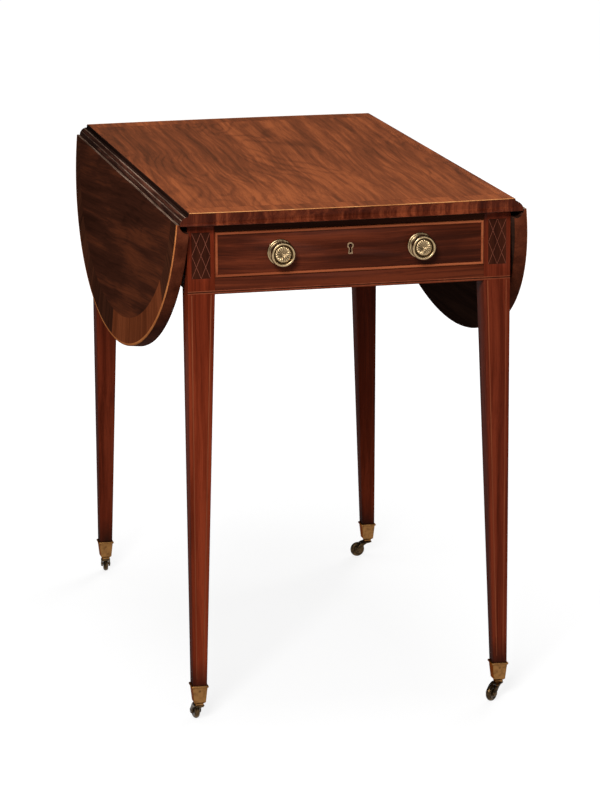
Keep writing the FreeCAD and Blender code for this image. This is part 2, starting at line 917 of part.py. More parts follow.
def horn_casting(outer, low, top):
    """Side view of the horn, from the plate down to the axle's eye, before its fork is cut."""
    eye = horn_eye_radius
    corner = eye / 2
    points = [
        (-outer, low), (-outer, top), (outer, top),
        (caster_trail + corner, wheel_radius + eye), (caster_trail + eye, wheel_radius + corner),
        (caster_trail + eye, wheel_radius - corner), (caster_trail + corner, wheel_radius - eye),
        (caster_trail - corner, wheel_radius - eye), (caster_trail - eye, wheel_radius - corner),
        (0, low),
    ]
    casting = polygon(in_xz, points).extrude(at(0, 2 * outer, 0))
    casting.translate(at(0, -outer, 0))
    return casting


def caster_wheel():
    """Brass wheel along +X from the pivot."""
    half = wheel_width / 2
    low = at(caster_trail, -half, wheel_radius)
    high = at(caster_trail, half, wheel_radius)
    return rod(wheel_radius, low, high).cut(rod(axle_radius + pin_running_clearance, low, high))


def under_foot(piece, corner):
    """Caster piece turned to its rest heading and set under one leg."""
    side = -1 if corner.endswith("left") else 1
    end = -1 if corner.startswith("front") else 1
    placed = piece.copy()
    placed.rotate(at(0, 0, 0), at(0, 0, 1), caster_headings[corner])
    placed.translate(at(side * foot_x, end * foot_y, 0))
    return placed


def save_frame():
    """Legs, rails and fly brackets."""
    for side, turn in (("right", lambda piece: piece), ("left", flip_x)):
        save("leg_front_" + side, turn(front_leg()))
        save("leg_back_" + side, turn(back_leg()))
        save("side_rail_" + side, turn(side_rail()))
        save("hinge_rail_" + side, *[turn(piece) for piece in hinge_rail()])
        save("fly_bracket_" + side, turn(fly_bracket()))
    save("top_rail_front", top_rail())
    save("bottom_rail_front", bottom_rail())
    save("back_rail", back_rail())
    save("drawer_runners", *runners())


def save_inlay():
    """Stringing and dark inlay of the frame."""
    light = both_ends(both_sides(leg_strings()) + apron_lights())
    dark = both_ends(both_sides([lattice_panel()]) + [apron_dark()])
    save("light_stringing", *light)
    save("dark_inlay", *dark)


def save_bed():
    """Bed board and the fixed halves of the leaf hinges."""
    save("bed_top", bed_top())
    save("bed_hinge_plates", *both_sides([bed_hinge_plate(y) for y in hinge_ys]))


def save_leaves():
    """Both leaves with their hinge plates."""
    for side, turn in (("right", lambda piece: piece), ("left", flip_x)):
        save("leaf_" + side, turn(hung(leaf_board())))
        save("leaf_hinge_plates_" + side, *[turn(hung(leaf_hinge_plate(y))) for y in hinge_ys])


def save_drawer():
    """Drawer, its lock and knobs, and the dummy drawer front."""
    save("drawer_front", drawer_front())
    save("drawer_bead", *bead_strips())
    save("drawer_side_right", drawer_side())
    save("drawer_side_left", flip_x(drawer_side()))
    save("drawer_back", drawer_back())
    save("drawer_bottom", drawer_floor())
    save("drawer_knobs", *drawer_knobs())
    save("escutcheon", escutcheon())
    save("lock_case", lock_case())
    save("lock_bolt", lock_bolt())
    save("dummy_drawer_front", dummy_front())
    save("dummy_bead", *dummy_beads())
    save("dummy_knobs", *[flip_y(piece) for piece in drawer_knobs()])


def save_casters():
    """Four cup casters."""
    save("caster_cups", *both_ends(both_sides([caster_cup()])))
    for corner in caster_headings:
        save("caster_horn_" + corner, under_foot(caster_horn(), corner))
        save("caster_wheel_" + corner, under_foot(caster_wheel(), corner))


os.makedirs("parts", exist_ok=True)
save_frame()
save_inlay()
save_bed()
save_leaves()
save_drawer()
save_casters()
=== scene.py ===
"""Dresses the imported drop-leaf table with veneers, stringing, brasses, casters and a studio.

Lengths are in metres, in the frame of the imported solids. Knobs and casters are drawn in millimetres.
"""

import functools
import json
import logging
import math
from dataclasses import dataclass
from enum import Enum
from typing import Callable, Iterable, NamedTuple, Sequence

import bmesh
import bpy
from mathutils import Matrix, Vector

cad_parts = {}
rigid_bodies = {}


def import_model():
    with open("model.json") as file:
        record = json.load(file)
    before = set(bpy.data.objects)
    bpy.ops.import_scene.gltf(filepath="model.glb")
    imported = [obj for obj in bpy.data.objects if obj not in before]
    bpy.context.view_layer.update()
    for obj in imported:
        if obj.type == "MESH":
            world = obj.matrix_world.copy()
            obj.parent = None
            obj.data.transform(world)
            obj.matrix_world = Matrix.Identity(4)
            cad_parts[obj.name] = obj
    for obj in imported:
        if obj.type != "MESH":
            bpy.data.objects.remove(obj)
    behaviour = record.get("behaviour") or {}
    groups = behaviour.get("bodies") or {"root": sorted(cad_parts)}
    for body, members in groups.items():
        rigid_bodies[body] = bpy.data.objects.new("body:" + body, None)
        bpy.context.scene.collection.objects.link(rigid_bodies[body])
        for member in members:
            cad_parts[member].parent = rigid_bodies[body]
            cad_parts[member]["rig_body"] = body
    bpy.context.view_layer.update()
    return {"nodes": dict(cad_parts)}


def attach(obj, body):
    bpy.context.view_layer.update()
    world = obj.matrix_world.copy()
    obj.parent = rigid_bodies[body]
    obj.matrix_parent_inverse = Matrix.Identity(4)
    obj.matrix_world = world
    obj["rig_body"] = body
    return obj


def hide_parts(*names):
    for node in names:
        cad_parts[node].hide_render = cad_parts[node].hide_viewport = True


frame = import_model()
LOG = logging.getLogger("table")

Rgb = tuple[float, float, float]
Pair = tuple[float, float]
Point = tuple[float, float, float]
Material = bpy.types.Material
Piece = bpy.types.Object
Socket = bpy.types.NodeSocket
Placer = Callable[[float, float, float], Sequence[float]]

MM = 0.001
WHITE: Rgb = (1.0, 1.0, 1.0)
STILL: Point = (0.0, 0.0, 0.0)

# Angles in degrees over which an edge stays sharp, on drawn pieces and on eased solids
DRAWN_SHARP = 32.0
EASED_SHARP = 50.0

# Share of an arris that its single middle point stands in from both faces
ARRIS_CUT = 0.3


class Named(Enum):
    """Option whose name is a part of the solids' names."""

    @property
    def word(self) -> str:
        """Name used in the solids' names."""
        return self.name.lower()


class Side(Named):
    """Side of the table as seen from the drawer end."""

    LEFT = -1
    RIGHT = 1


class End(Named):
    """End of the table: the drawer's or the dummy drawer's."""

    FRONT = -1
    BACK = 1


class Grain(Enum):
    """Way that the grain runs: along an axis, or across a band in the band's own coordinates."""

    ACROSS = 0
    ALONG = 1
    UPRIGHT = 2
    VENEER = 3

    @property
    def axis(self) -> int:
        """Number of the axis that the grain follows."""
        return Grain.ALONG.value if self is Grain.VENEER else self.value


class Patches(NamedTuple):
    """Slow light and dark: patches per metre, share of that along the grain, detail and distortion."""

    rate: float
    stretch: float
    detail: float
    warp: float


class Figure(Enum):
    """Kind of figure in a wood."""

    STRAIGHT = Patches(14.0, 0.12, 2.0, 0.6)
    CLOUDED = Patches(20.0, 0.22, 3.0, 0.8)
    FLAME = Patches(17.0, 0.13, 3.0, 0.9)
    BROAD_FLAME = Patches(11.0, 0.13, 3.0, 0.9)


@dataclass(frozen=True)
class Table:
    """Sizes that several sub-assemblies share."""

    height: float = 0.711
    half_length: float = 0.400
    joint: float = 0.224
    thickness: float = 0.018
    fillet: float = 0.0045
    ovolo: float = 0.0113
    hang: float = 5.0
    hinge_place: float = 0.230
    hinge_half: float = 0.021
    plate_depth: float = 0.002
    face_y: float = 0.382
    foot_x: float = 0.212687
    foot_y: float = 0.37225

    @property
    def underside(self) -> float:
        """Height of the bed's underside."""
        return self.height - self.thickness

    @property
    def pin_z(self) -> float:
        """Height of the hinge pins."""
        return self.height - self.fillet - self.ovolo

    @property
    def leaf_back(self) -> float:
        """Place of a plumb right leaf's back."""
        return self.joint - self.pin_z + self.underside

    @property
    def leaf_face(self) -> float:
        """Place of a plumb right leaf's show face."""
        return self.joint + self.fillet + self.ovolo

    @property
    def hinges(self) -> Pair:
        """Places of the hinges along a joint."""
        return (-self.hinge_place, self.hinge_place)

    @property
    def lean(self) -> Matrix:
        """Turn about the right hinge pins that hangs a plumb leaf at its lean."""
        pin = Matrix.Translation((self.joint, 0.0, self.pin_z))
        return pin @ Matrix.Rotation(math.radians(-self.hang), 4, "Y") @ pin.inverted()


TABLE = Table()


class Graph:
    """Builds the nodes of one procedural material."""

    def __init__(self, name: str) -> None:
        """Starts a material.

        Args:
            name: Name of the finish.
        """
        self.material = bpy.data.materials.new(name)
        self.material.use_nodes = True
        self.tree = self.material.node_tree
        self.shader = self.tree.nodes["Principled BSDF"]

    def node(self, kind: str, sources: dict[str, object] | None = None,
             **options: object) -> bpy.types.Node:
        """Adds a node.

        Args:
            kind: Blender's type name of the node.
            sources: What feeds its inputs, by name.
            options: Properties of the node itself.

        Returns:
            The new node.
        """
        made = self.tree.nodes.new(kind)
        for key, value in options.items():
            setattr(made, key, value)
        for key, source in (sources or {}).items():
            self.feed(made.inputs[key], source)
        return made

    def feed(self, target: Socket, source: object) -> None:
        """Sets a socket from another socket or from a constant.

        Args:
            target: Socket to set.
            source: Output socket, number, place or colour.
        """
        if isinstance(source, Socket):
            self.tree.links.new(source, target)
        elif isinstance(target, bpy.types.NodeSocketColor):
            target.default_value = (*source, 1.0)
        else:
            target.default_value = source

    def dress(self, sources: dict[str, object]) -> None:
        """Sets sockets of the shader by their names."""
        for key, source in sources.items():
            self.feed(self.shader.inputs[key], source)

    def mix(self, factor: object, first: object, second: object) -> Socket:
        """Mixes two colours.

        Args:
            factor: Share of the second colour.
            first: First colour.
            second: Second colour.

        Returns:
            The mixed colour.
        """
        made = self.node("ShaderNodeMix", data_type="RGBA")
        for number, source in ((0, factor), (6, first), (7, second)):
            self.feed(made.inputs[number], source)
        return made.outputs[2]

    def math(self, operation: str, first: object, second: object = 0.0) -> Socket:
        """Works on two numbers.

        Args:
            operation: Blender's name of the operation.
            first: First number.
            second: Second number.

        Returns:
            The result.
        """
        made = self.node("ShaderNodeMath", operation=operation)
        for target, source in zip(made.inputs, (first, second)):
            self.feed(target, source)
        return made.outputs[0]

    def sum(self, parts: Sequence[Socket]) -> Socket:
        """Adds up numbers."""
        return functools.reduce(functools.partial(self.math, "ADD"), parts)

    def span(self, value: Socket, low: Pair, high: Pair) -> Socket:
        """Maps a number from one range to another, clamped.

        Args:
            value: Number to map.
            low: Lower bound before and after.
            high: Upper bound before and after.

        Returns:
            The mapped number.
        """
        made = self.node("ShaderNodeMapRange", {"Value": value, "From Min": low[0], "From Max": high[0],
                                                "To Min": low[1], "To Max": high[1]})
        return made.outputs["Result"]

    def ramp(self, value: Socket, stops: Sequence[tuple[float, Rgb]]) -> Socket:
        """Colours a number by stops.

        Args:
            value: Number from 0 to 1.
            stops: Places and colours.

        Returns:
            The colour.
        """
        made = self.node("ShaderNodeValToRGB", {"Fac": value})
        elements = made.color_ramp.elements
        while len(elements) < len(stops):
            elements.new(0.5)
        for element, (place, colour) in zip(elements, stops):
            element.position = place
            element.color = (*colour, 1.0)
        return made.outputs["Color"]

    def place(self, veneer: bool = False) -> Socket:
        """Finds where a point of the surface lies.

        Args:
            veneer: Whether to take a band's own coordinates, along and across it.

        Returns:
            The rest coordinates of the piece, or those of the band.
        """
        if veneer:
            return self.node("ShaderNodeAttribute", attribute_name="veneer").outputs["Vector"]
        return self.node("ShaderNodeTexCoord").outputs["Object"]

    def axis(self, place: Socket, name: str) -> Socket:
        """One coordinate of a place."""
        return self.node("ShaderNodeSeparateXYZ", {"Vector": place}).outputs[name]

    def noise(self, place: Socket, scale: Point, turn: Point = STILL, detail: float = 4.0,
              warp: float = 0.0, offset: Point = STILL) -> Socket:
        """Noise in stretched coordinates.

        Args:
            place: Coordinates.
            scale: Patches per metre along each axis.
            turn: Turn of the pattern about the axes, in degrees.
            detail: Octaves of detail.
            warp: Distortion of the noise.
            offset: Shift of the pattern.

        Returns:
            The noise, from 0 to 1.
        """
        turned = [math.radians(angle) for angle in turn]
        moved = self.node("ShaderNodeMapping", {"Vector": place, "Location": offset, "Rotation": turned})
        sized = self.node("ShaderNodeMapping", {"Vector": moved.outputs["Vector"], "Scale": scale})
        made = self.node("ShaderNodeTexNoise", {"Vector": sized.outputs["Vector"], "Scale": 1.0,
                                                "Detail": detail, "Roughness": 0.55, "Distortion": warp})
        return made.outputs["Fac"]

    def wavy(self, place: Socket, rate: float, amount: float) -> Socket:
        """Lets straight coordinates wander.

        Args:
            place: Coordinates.
            rate: Bends per metre.
            amount: Largest shift in metres.

        Returns:
            The shifted coordinates.
        """
        drift = self.node("ShaderNodeTexNoise", {"Vector": place, "Scale": rate, "Detail": 2.0,
                                                 "Roughness": 0.5})
        made = self.node("ShaderNodeVectorMath", operation="MULTIPLY_ADD")
        for target, source in zip(made.inputs, (drift.outputs["Color"], (amount, amount, amount), place)):
            self.feed(target, source)
        return made.outputs["Vector"]

    def bump(self, height: Socket, strength: float, distance: float) -> None:
        """Roughens the surface.

        Args:
            height: Height from 0 to 1.
            strength: Strength of the effect.
            distance: Depth in metres.
        """
        made = self.node("ShaderNodeBump", {"Height": height, "Strength": strength, "Distance": distance})
        self.dress({"Normal": made.outputs["Normal"]})


@dataclass(frozen=True)
class WoodFinish:
    """A polished or bare wood, with its streaks, figure and open pores.

    A rate is in patches per metre across the grain, and a stretch is the share of it that is left along
    the grain. The tone is a number about a half that picks the colour.
    """

    name: str
    deep: Rgb
    mid: Rgb
    pale: Rgb
    grain: Grain = Grain.ALONG
    figure: Figure = Figure.STRAIGHT
    slope: Point = STILL
    spread: float = 0.13
    shares: Point = (0.45, 0.35, 0.20)
    streaks: float = 60.0
    stretch: float = 0.045
    fibres: float = 9.0
    fibre_stretch: float = 0.5
    wander: float = 0.02
    bends: float = 3.2
    rings: float = 0.0
    ring_patches: Patches = Patches(6.5, 0.20, 2.5, 0.5)
    ring_shift: Point = (0.31, 0.17, 0.0)
    ring_count: float = 80.0
    ring_thinness: float = 7.0
    group_rates: Point = (4.5, 3.0, 4.5)
    group_shift: Point = (0.7, 0.2, 0.4)
    group_edge: Pair = (0.40, 0.58)
    band_piece: float = 0.083
    band_change: float = 0.05
    pores: float = 0.35
    pore_rate: float = 2100.0
    pore_stretch: float = 0.035
    pore_edge: Pair = (0.60, 0.72)
    pore_shade: float = 0.35
    # Tone added along the length: lighter towards the front end
    fade: Pair | None = None
    grime: Pair | None = None
    grime_rates: Point = (90.0, 90.0, 30.0)
    grime_wave: float = 0.03
    grime_cover: float = 0.85
    grime_tone: Rgb = (0.012, 0.0055, 0.0035)
    gloss: float = 0.42
    gloss_change: Pair = (-0.06, 0.10)
    wear_rates: Point = (26.0, 26.0, 26.0)
    wear_edge: Pair = (0.3, 0.7)
    polish: float = 0.08
    polish_blur: float = 0.28
    relief: float = 0.18
    relief_depth: float = 0.00025

    def stretched(self, rate: float, stretch: float) -> Point:
        """Patches per metre along each axis, drawn out along the grain."""
        return tuple(rate * stretch if axis == self.grain.axis else rate for axis in range(3))

    def patched(self, graph: Graph, place: Socket, patches: Patches, offset: Point = STILL) -> Socket:
        """Slow light and dark along the grain.

        Args:
            graph: Material in the making.
            place: Coordinates.
            patches: Kind of the patches.
            offset: Shift of the pattern.

        Returns:
            The patches, from 0 to 1.
        """
        scale = self.stretched(patches.rate, patches.stretch)
        return graph.noise(place, scale, self.slope, patches.detail, patches.warp, offset)

    def ringed(self, graph: Graph, place: Socket) -> Socket:
        """Growth rings cut at a slant, as thin dark loops that come and go in groups.

        Args:
            graph: Material in the making.
            place: Coordinates.

        Returns:
            The change of tone.
        """
        slow = self.patched(graph, place, self.ring_patches, self.ring_shift)
        wave = graph.math("ABSOLUTE", graph.math("SINE", graph.math("MULTIPLY", slow, self.ring_count)))
        thin = graph.math("POWER", wave, self.ring_thinness)
        group = graph.noise(place, self.group_rates, detail=1.0, offset=self.group_shift)
        start, full = self.group_edge
        return graph.math("MULTIPLY", thin, graph.span(group, (start, 0.0), (full, -self.rings)))

    def pieced(self, graph: Graph, straight: Socket) -> Socket:
        """Band laid in short pieces that differ a little in tone.

        Args:
            graph: Material in the making.
            straight: Coordinates along and across the band.

        Returns:
            The change of tone.
        """
        piece = graph.math("FLOOR", graph.math("DIVIDE", graph.axis(straight, "X"), self.band_piece))
        pick = graph.node("ShaderNodeTexWhiteNoise", {"W": piece}, noise_dimensions="1D")
        return graph.span(pick.outputs["Value"], (0.0, -self.band_change), (1.0, self.band_change))

    def toned(self, graph: Graph, straight: Socket, place: Socket, fibre: Socket) -> Socket:
        """Tone of the wood before its pores.

        Args:
            graph: Material in the making.
            straight: Rest coordinates.
            place: Coordinates that wander as the grain does.
            fibre: Fine fibres.

        Returns:
            The tone.
        """
        scale = self.stretched(self.streaks, self.stretch)
        streak = graph.noise(place, scale, self.slope, detail=6.0, warp=0.4)
        layers = (streak, self.patched(graph, place, self.figure.value), fibre)
        parts = [graph.math("MULTIPLY", layer, share) for layer, share in zip(layers, self.shares)]
        if self.rings:
            parts.append(self.ringed(graph, place))
        if self.grain is Grain.VENEER:
            parts.append(self.pieced(graph, straight))
        if self.fade:
            front, back = self.fade
            length = graph.axis(straight, "Y")
            parts.append(graph.span(length, (-TABLE.half_length, front), (TABLE.half_length, back)))
        return graph.sum(parts)

    def soiled(self, graph: Graph, straight: Socket, place: Socket, colour: Socket) -> Socket:
        """Old dirt that gathers below a height.

        Args:
            graph: Material in the making.
            straight: Rest coordinates.
            place: Coordinates that wander as the grain does.
            colour: Colour of the clean wood.

        Returns:
            The colour with its dirt.
        """
        low, high = self.grime
        blot = graph.math("MULTIPLY", graph.noise(place, self.grime_rates, detail=3.0), self.grime_wave)
        height = graph.math("ADD", graph.axis(straight, "Z"), blot)
        return graph.mix(graph.span(height, (low, self.grime_cover), (high, 0.0)), colour, self.grime_tone)

    def material(self) -> Material:
        """Makes the wood.

        Returns:
            The material.
        """
        graph = Graph(self.name)
        straight = graph.place(self.grain is Grain.VENEER)
        place = graph.wavy(straight, self.bends, self.wander)
        fine = self.stretched(self.streaks * self.fibres, self.stretch * self.fibre_stretch)
        fibre = graph.noise(place, fine, self.slope, detail=3.0)
        tone = self.toned(graph, straight, place, fibre)
        stops = [(0.5 - self.spread, self.deep), (0.5, self.mid), (0.5 + self.spread, self.pale)]
        pore = graph.noise(place, self.stretched(self.pore_rate, self.pore_stretch), self.slope, detail=2.0)
        start, full = self.pore_edge
        dark = graph.span(pore, (start, 0.0), (full, self.pores))
        shaded = [channel * self.pore_shade for channel in self.deep]
        colour = graph.mix(dark, graph.ramp(tone, stops), shaded)
        if self.grime:
            colour = self.soiled(graph, straight, place, colour)
        wear = graph.noise(graph.place(), self.wear_rates, detail=3.0, warp=0.5)
        least, most = ((edge, self.gloss + change)
                       for edge, change in zip(self.wear_edge, self.gloss_change))
        graph.dress({"Base Color": colour, "Roughness": graph.span(wear, least, most),
                     "Specular IOR Level": 0.0, "Coat Weight": self.polish,
                     "Coat Roughness": self.polish_blur})
        graph.bump(graph.math("SUBTRACT", fibre, dark), self.relief, self.relief_depth)
        return graph.material


@dataclass(frozen=True)
class MetalFinish:
    """A worn metal with patina in its hollows."""

    name: str
    bright: Rgb
    patina: Rgb
    roughness: float
    spread: Pair
    hollow: float = 0.004
    glance: Rgb = WHITE
    blotch_rates: Point = (160.0, 160.0, 160.0)
    speck_rates: Point = (1400.0, 1400.0, 1400.0)
    dirt_edge: Pair = (0.42, 0.92)
    patina_roughness: float = 0.22
    relief: float = 0.12
    relief_depth: float = 0.0001

    def material(self) -> Material:
        """Makes the metal.

        Returns:
            The material.
        """
        graph = Graph(self.name)
        place = graph.place()
        blotch = graph.noise(place, self.blotch_rates, detail=5.0, warp=0.8)
        hidden = graph.node("ShaderNodeAmbientOcclusion", {"Distance": self.hollow}, samples=8,
                            only_local=True)
        dirt = graph.span(hidden.outputs["AO"], (self.dirt_edge[0], 1.0), (self.dirt_edge[1], 0.0))
        worn = graph.span(blotch, (self.spread[0], 0.0), (self.spread[1], 1.0))
        share = graph.math("MAXIMUM", worn, dirt)
        rough = graph.span(share, (0.0, self.roughness), (1.0, self.roughness + self.patina_roughness))
        graph.dress({"Base Color": graph.mix(share, self.bright, self.patina), "Roughness": rough,
                     "Metallic": 1.0, "Specular Tint": self.glance})
        graph.bump(graph.noise(place, self.speck_rates, detail=3.0), self.relief, self.relief_depth)
        return graph.material


@dataclass(frozen=True)
class FloorFinish:
    """A pale floor that keeps the table's shadow and reads as white to the camera."""

    name: str
    base: Rgb = (0.25, 0.25, 0.25)
    near: Pair = (0.5, 0.80)
    far: Pair = (2.2, 1.0)

    def material(self) -> Material:
        """Makes the floor's paint.

        Returns:
            The material.
        """
        graph = Graph(self.name)
        path = graph.node("ShaderNodeLightPath")
        seen = graph.math("MAXIMUM", path.outputs["Is Camera Ray"], path.outputs["Is Glossy Ray"])
        away = graph.node("ShaderNodeVectorMath", operation="LENGTH")
        graph.feed(away.inputs[0], graph.place())
        glow = graph.math("MULTIPLY", seen, graph.span(away.outputs["Value"], self.near, self.far))
        graph.dress({"Base Color": self.base, "Roughness": 0.9, "Specular IOR Level": 0.0,
                     "Emission Color": WHITE, "Emission Strength": glow})
        return graph.material


@functools.cache
def made_once(finish: WoodFinish | MetalFinish | FloorFinish) -> Material:
    """Material of a finish, made at its first use."""
    return finish.material()


# Deep, middle and pale colours that two woods share
BROWN = ((0.036, 0.0074, 0.0033), (0.074, 0.0142, 0.0058), (0.135, 0.0265, 0.0100))
WARM = ((0.094, 0.0300, 0.0135), (0.185, 0.0510, 0.0200), (0.325, 0.0900, 0.0310))
PLAIN_OAK = ((0.130, 0.064, 0.027), (0.215, 0.114, 0.050), (0.300, 0.172, 0.082))

# Ways of growing and wearing that several woods share
SOILED_FOOT: Pair = (0.066, 0.108)
FINE = dict(streaks=130.0, stretch=0.02, spread=0.09)
LEG_WOOD = dict(grain=Grain.UPRIGHT, polish=0.05, grime=SOILED_FOOT, **FINE)
BAND = dict(grain=Grain.VENEER, streaks=150.0, polish=0.0)
STRING = dict(pores=0.12, streaks=90.0)
BARE = dict(gloss=0.62, polish=0.02, pores=0.5)


class Finish(Enum):
    """Every finish of the table and the studio."""

    LEG = WoodFinish("mahogany_legs", (0.086, 0.0112, 0.0034), (0.148, 0.0200, 0.0064),
                     (0.222, 0.0340, 0.0118), **LEG_WOOD)
    # Darker copy of the legs' wood: painted shade on the front right and back left legs
    DARK_LEG = WoodFinish("mahogany_dark_legs", (0.066, 0.0092, 0.0032), (0.114, 0.0164, 0.0060),
                          (0.172, 0.0276, 0.0104), **LEG_WOOD)
    WORN = WoodFinish("mahogany_worn_edges", (0.120, 0.0230, 0.0095), (0.190, 0.0370, 0.0145),
                      (0.270, 0.0600, 0.0230), Grain.UPRIGHT, grime=SOILED_FOOT)
    RAIL = WoodFinish("mahogany_rails", *BROWN, Grain.ACROSS, polish=0.06, **FINE)
    # Top rail: near black, a painted shadow of the bed's overhang
    TOP_RAIL = WoodFinish("mahogany_top_rails", (0.014, 0.0048, 0.0026), (0.030, 0.0088, 0.0044),
                          (0.056, 0.0150, 0.0072), Grain.ACROSS, polish=0.02)
    DRAWER = WoodFinish("mahogany_drawer_front", *BROWN, Grain.ACROSS, Figure.CLOUDED, streaks=110.0,
                        stretch=0.025, spread=0.085, polish=0.06)
    BED = WoodFinish("mahogany_bed_field", *WARM, figure=Figure.BROAD_FLAME, slope=(0.0, 0.0, 2.0),
                     streaks=120.0, stretch=0.024, wander=0.032, rings=0.062, fade=(0.05, -0.01),
                     spread=0.125, polish=0.10)
    BED_BAND = WoodFinish("mahogany_end_band", *WARM, streaks=150.0, fade=(0.05, 0.0), polish=0.10)
    BED_END = WoodFinish("mahogany_end_veneer", (0.044, 0.0074, 0.0032), (0.098, 0.0180, 0.0074),
                         (0.235, 0.0510, 0.0190), Grain.UPRIGHT, streaks=110.0, spread=0.10)
    # Leaf's field, much darker than the bed's: its own darker tone, deepened further as painted shade of a
    # hanging leaf
    LEAF = WoodFinish("mahogany_leaf_field", (0.036, 0.0118, 0.0068), (0.070, 0.0208, 0.0112),
                      (0.165, 0.0430, 0.0176), figure=Figure.FLAME, slope=(5.0, 0.0, 0.0), stretch=0.03,
                      wander=0.018, rings=0.05, polish=0.0)
    # The leaf's crossband in two copies of one veneer: a painted lit part and a painted shaded part
    LEAF_BAND = WoodFinish("mahogany_leaf_band", (0.108, 0.0262, 0.0098), (0.182, 0.0450, 0.0160),
                           (0.275, 0.0710, 0.0255), **BAND)
    DARK_BAND = WoodFinish("mahogany_leaf_band_dark", (0.034, 0.0115, 0.0065), (0.064, 0.0205, 0.0108),
                           (0.110, 0.0345, 0.0165), **BAND)
    EDGE = WoodFinish("mahogany_edges", (0.048, 0.0105, 0.0048), (0.088, 0.0200, 0.0088),
                      (0.145, 0.0350, 0.0150), polish=0.02)
    # Near black: painted shade at the fillet and along the bed's arris at the joint
    GROOVE = WoodFinish("mahogany_joint_groove", (0.008, 0.0040, 0.0030), (0.018, 0.0080, 0.0056),
                        (0.036, 0.0150, 0.0100), polish=0.0)
    JOINT = WoodFinish("mahogany_rule_joint", (0.016, 0.0065, 0.0045), (0.042, 0.0150, 0.0094),
                       (0.120, 0.0420, 0.0250), spread=0.09, streaks=260.0, polish=0.02)
    # Pale bare wood of the leaf's worn lip, also laid on the bed's ovolo as painted highlight lines
    LIP = WoodFinish("mahogany_bare_lip", (0.026, 0.0135, 0.0092), (0.115, 0.0690, 0.0480),
                     (0.300, 0.2000, 0.1450), spread=0.09, streaks=240.0, polish=0.0)
    UNDER = WoodFinish("mahogany_undersides", (0.020, 0.0098, 0.0068), (0.036, 0.0172, 0.0118),
                       (0.062, 0.0290, 0.0195), gloss=0.6, polish=0.0)
    BEAD = WoodFinish("bead_mahogany", (0.190, 0.0420, 0.0160), (0.300, 0.0740, 0.0280),
                      (0.420, 0.1180, 0.0450), Grain.ACROSS, pores=0.2, polish=0.05)
    BOX = WoodFinish("boxwood_line", (0.40, 0.150, 0.048), (0.56, 0.230, 0.078), (0.70, 0.330, 0.122),
                     polish=0.05, **STRING)
    RIM = WoodFinish("leaf_edge_line", (0.40, 0.115, 0.034), (0.56, 0.180, 0.054), (0.70, 0.260, 0.084),
                     polish=0.0, **STRING)
    LINE = WoodFinish("stained_line", (0.140, 0.0280, 0.0115), (0.195, 0.0430, 0.0180),
                      (0.260, 0.0680, 0.0280), Grain.UPRIGHT, polish=0.04, grime=SOILED_FOOT, **STRING)
    LATTICE = WoodFinish("lattice_line", (0.150, 0.0420, 0.0250), (0.205, 0.0600, 0.0360),
                         (0.260, 0.0850, 0.0520), Grain.UPRIGHT, polish=0.04, **STRING)
    EBONY = WoodFinish("dark_veneer", (0.022, 0.0056, 0.0030), (0.045, 0.0112, 0.0054),
                       (0.075, 0.0190, 0.0090), Grain.UPRIGHT, pores=0.2, polish=0.02)
    OAK = WoodFinish("oak_rails", *PLAIN_OAK, **BARE)
    OAK_CROSS = WoodFinish("oak_cross_boards", *PLAIN_OAK, Grain.ACROSS, **BARE)
    BRASS = MetalFinish("old_brass", (0.36, 0.255, 0.138), (0.085, 0.053, 0.025), 0.30, (0.60, 1.1), 0.0018)
    DULL_BRASS = MetalFinish("dull_brass", (0.26, 0.170, 0.098), (0.070, 0.040, 0.020), 0.36, (0.44, 0.80),
                             0.0016)
    CAST_BRASS = MetalFinish("cast_brass", (0.270, 0.130, 0.043), (0.130, 0.057, 0.019), 0.36, (0.44, 0.80),
                             0.003, (0.30, 0.17, 0.09))
    DARK_BRASS = MetalFinish("dark_brass", (0.120, 0.072, 0.032), (0.018, 0.012, 0.007), 0.26, (0.30, 0.64))
    IRON = MetalFinish("worn_iron", (0.20, 0.185, 0.17), (0.050, 0.040, 0.034), 0.48, (0.30, 0.60))
    FLOOR = FloorFinish("pale_floor")

    @property
    def material(self) -> Material:
        """The finish as a material."""
        return made_once(self.value)


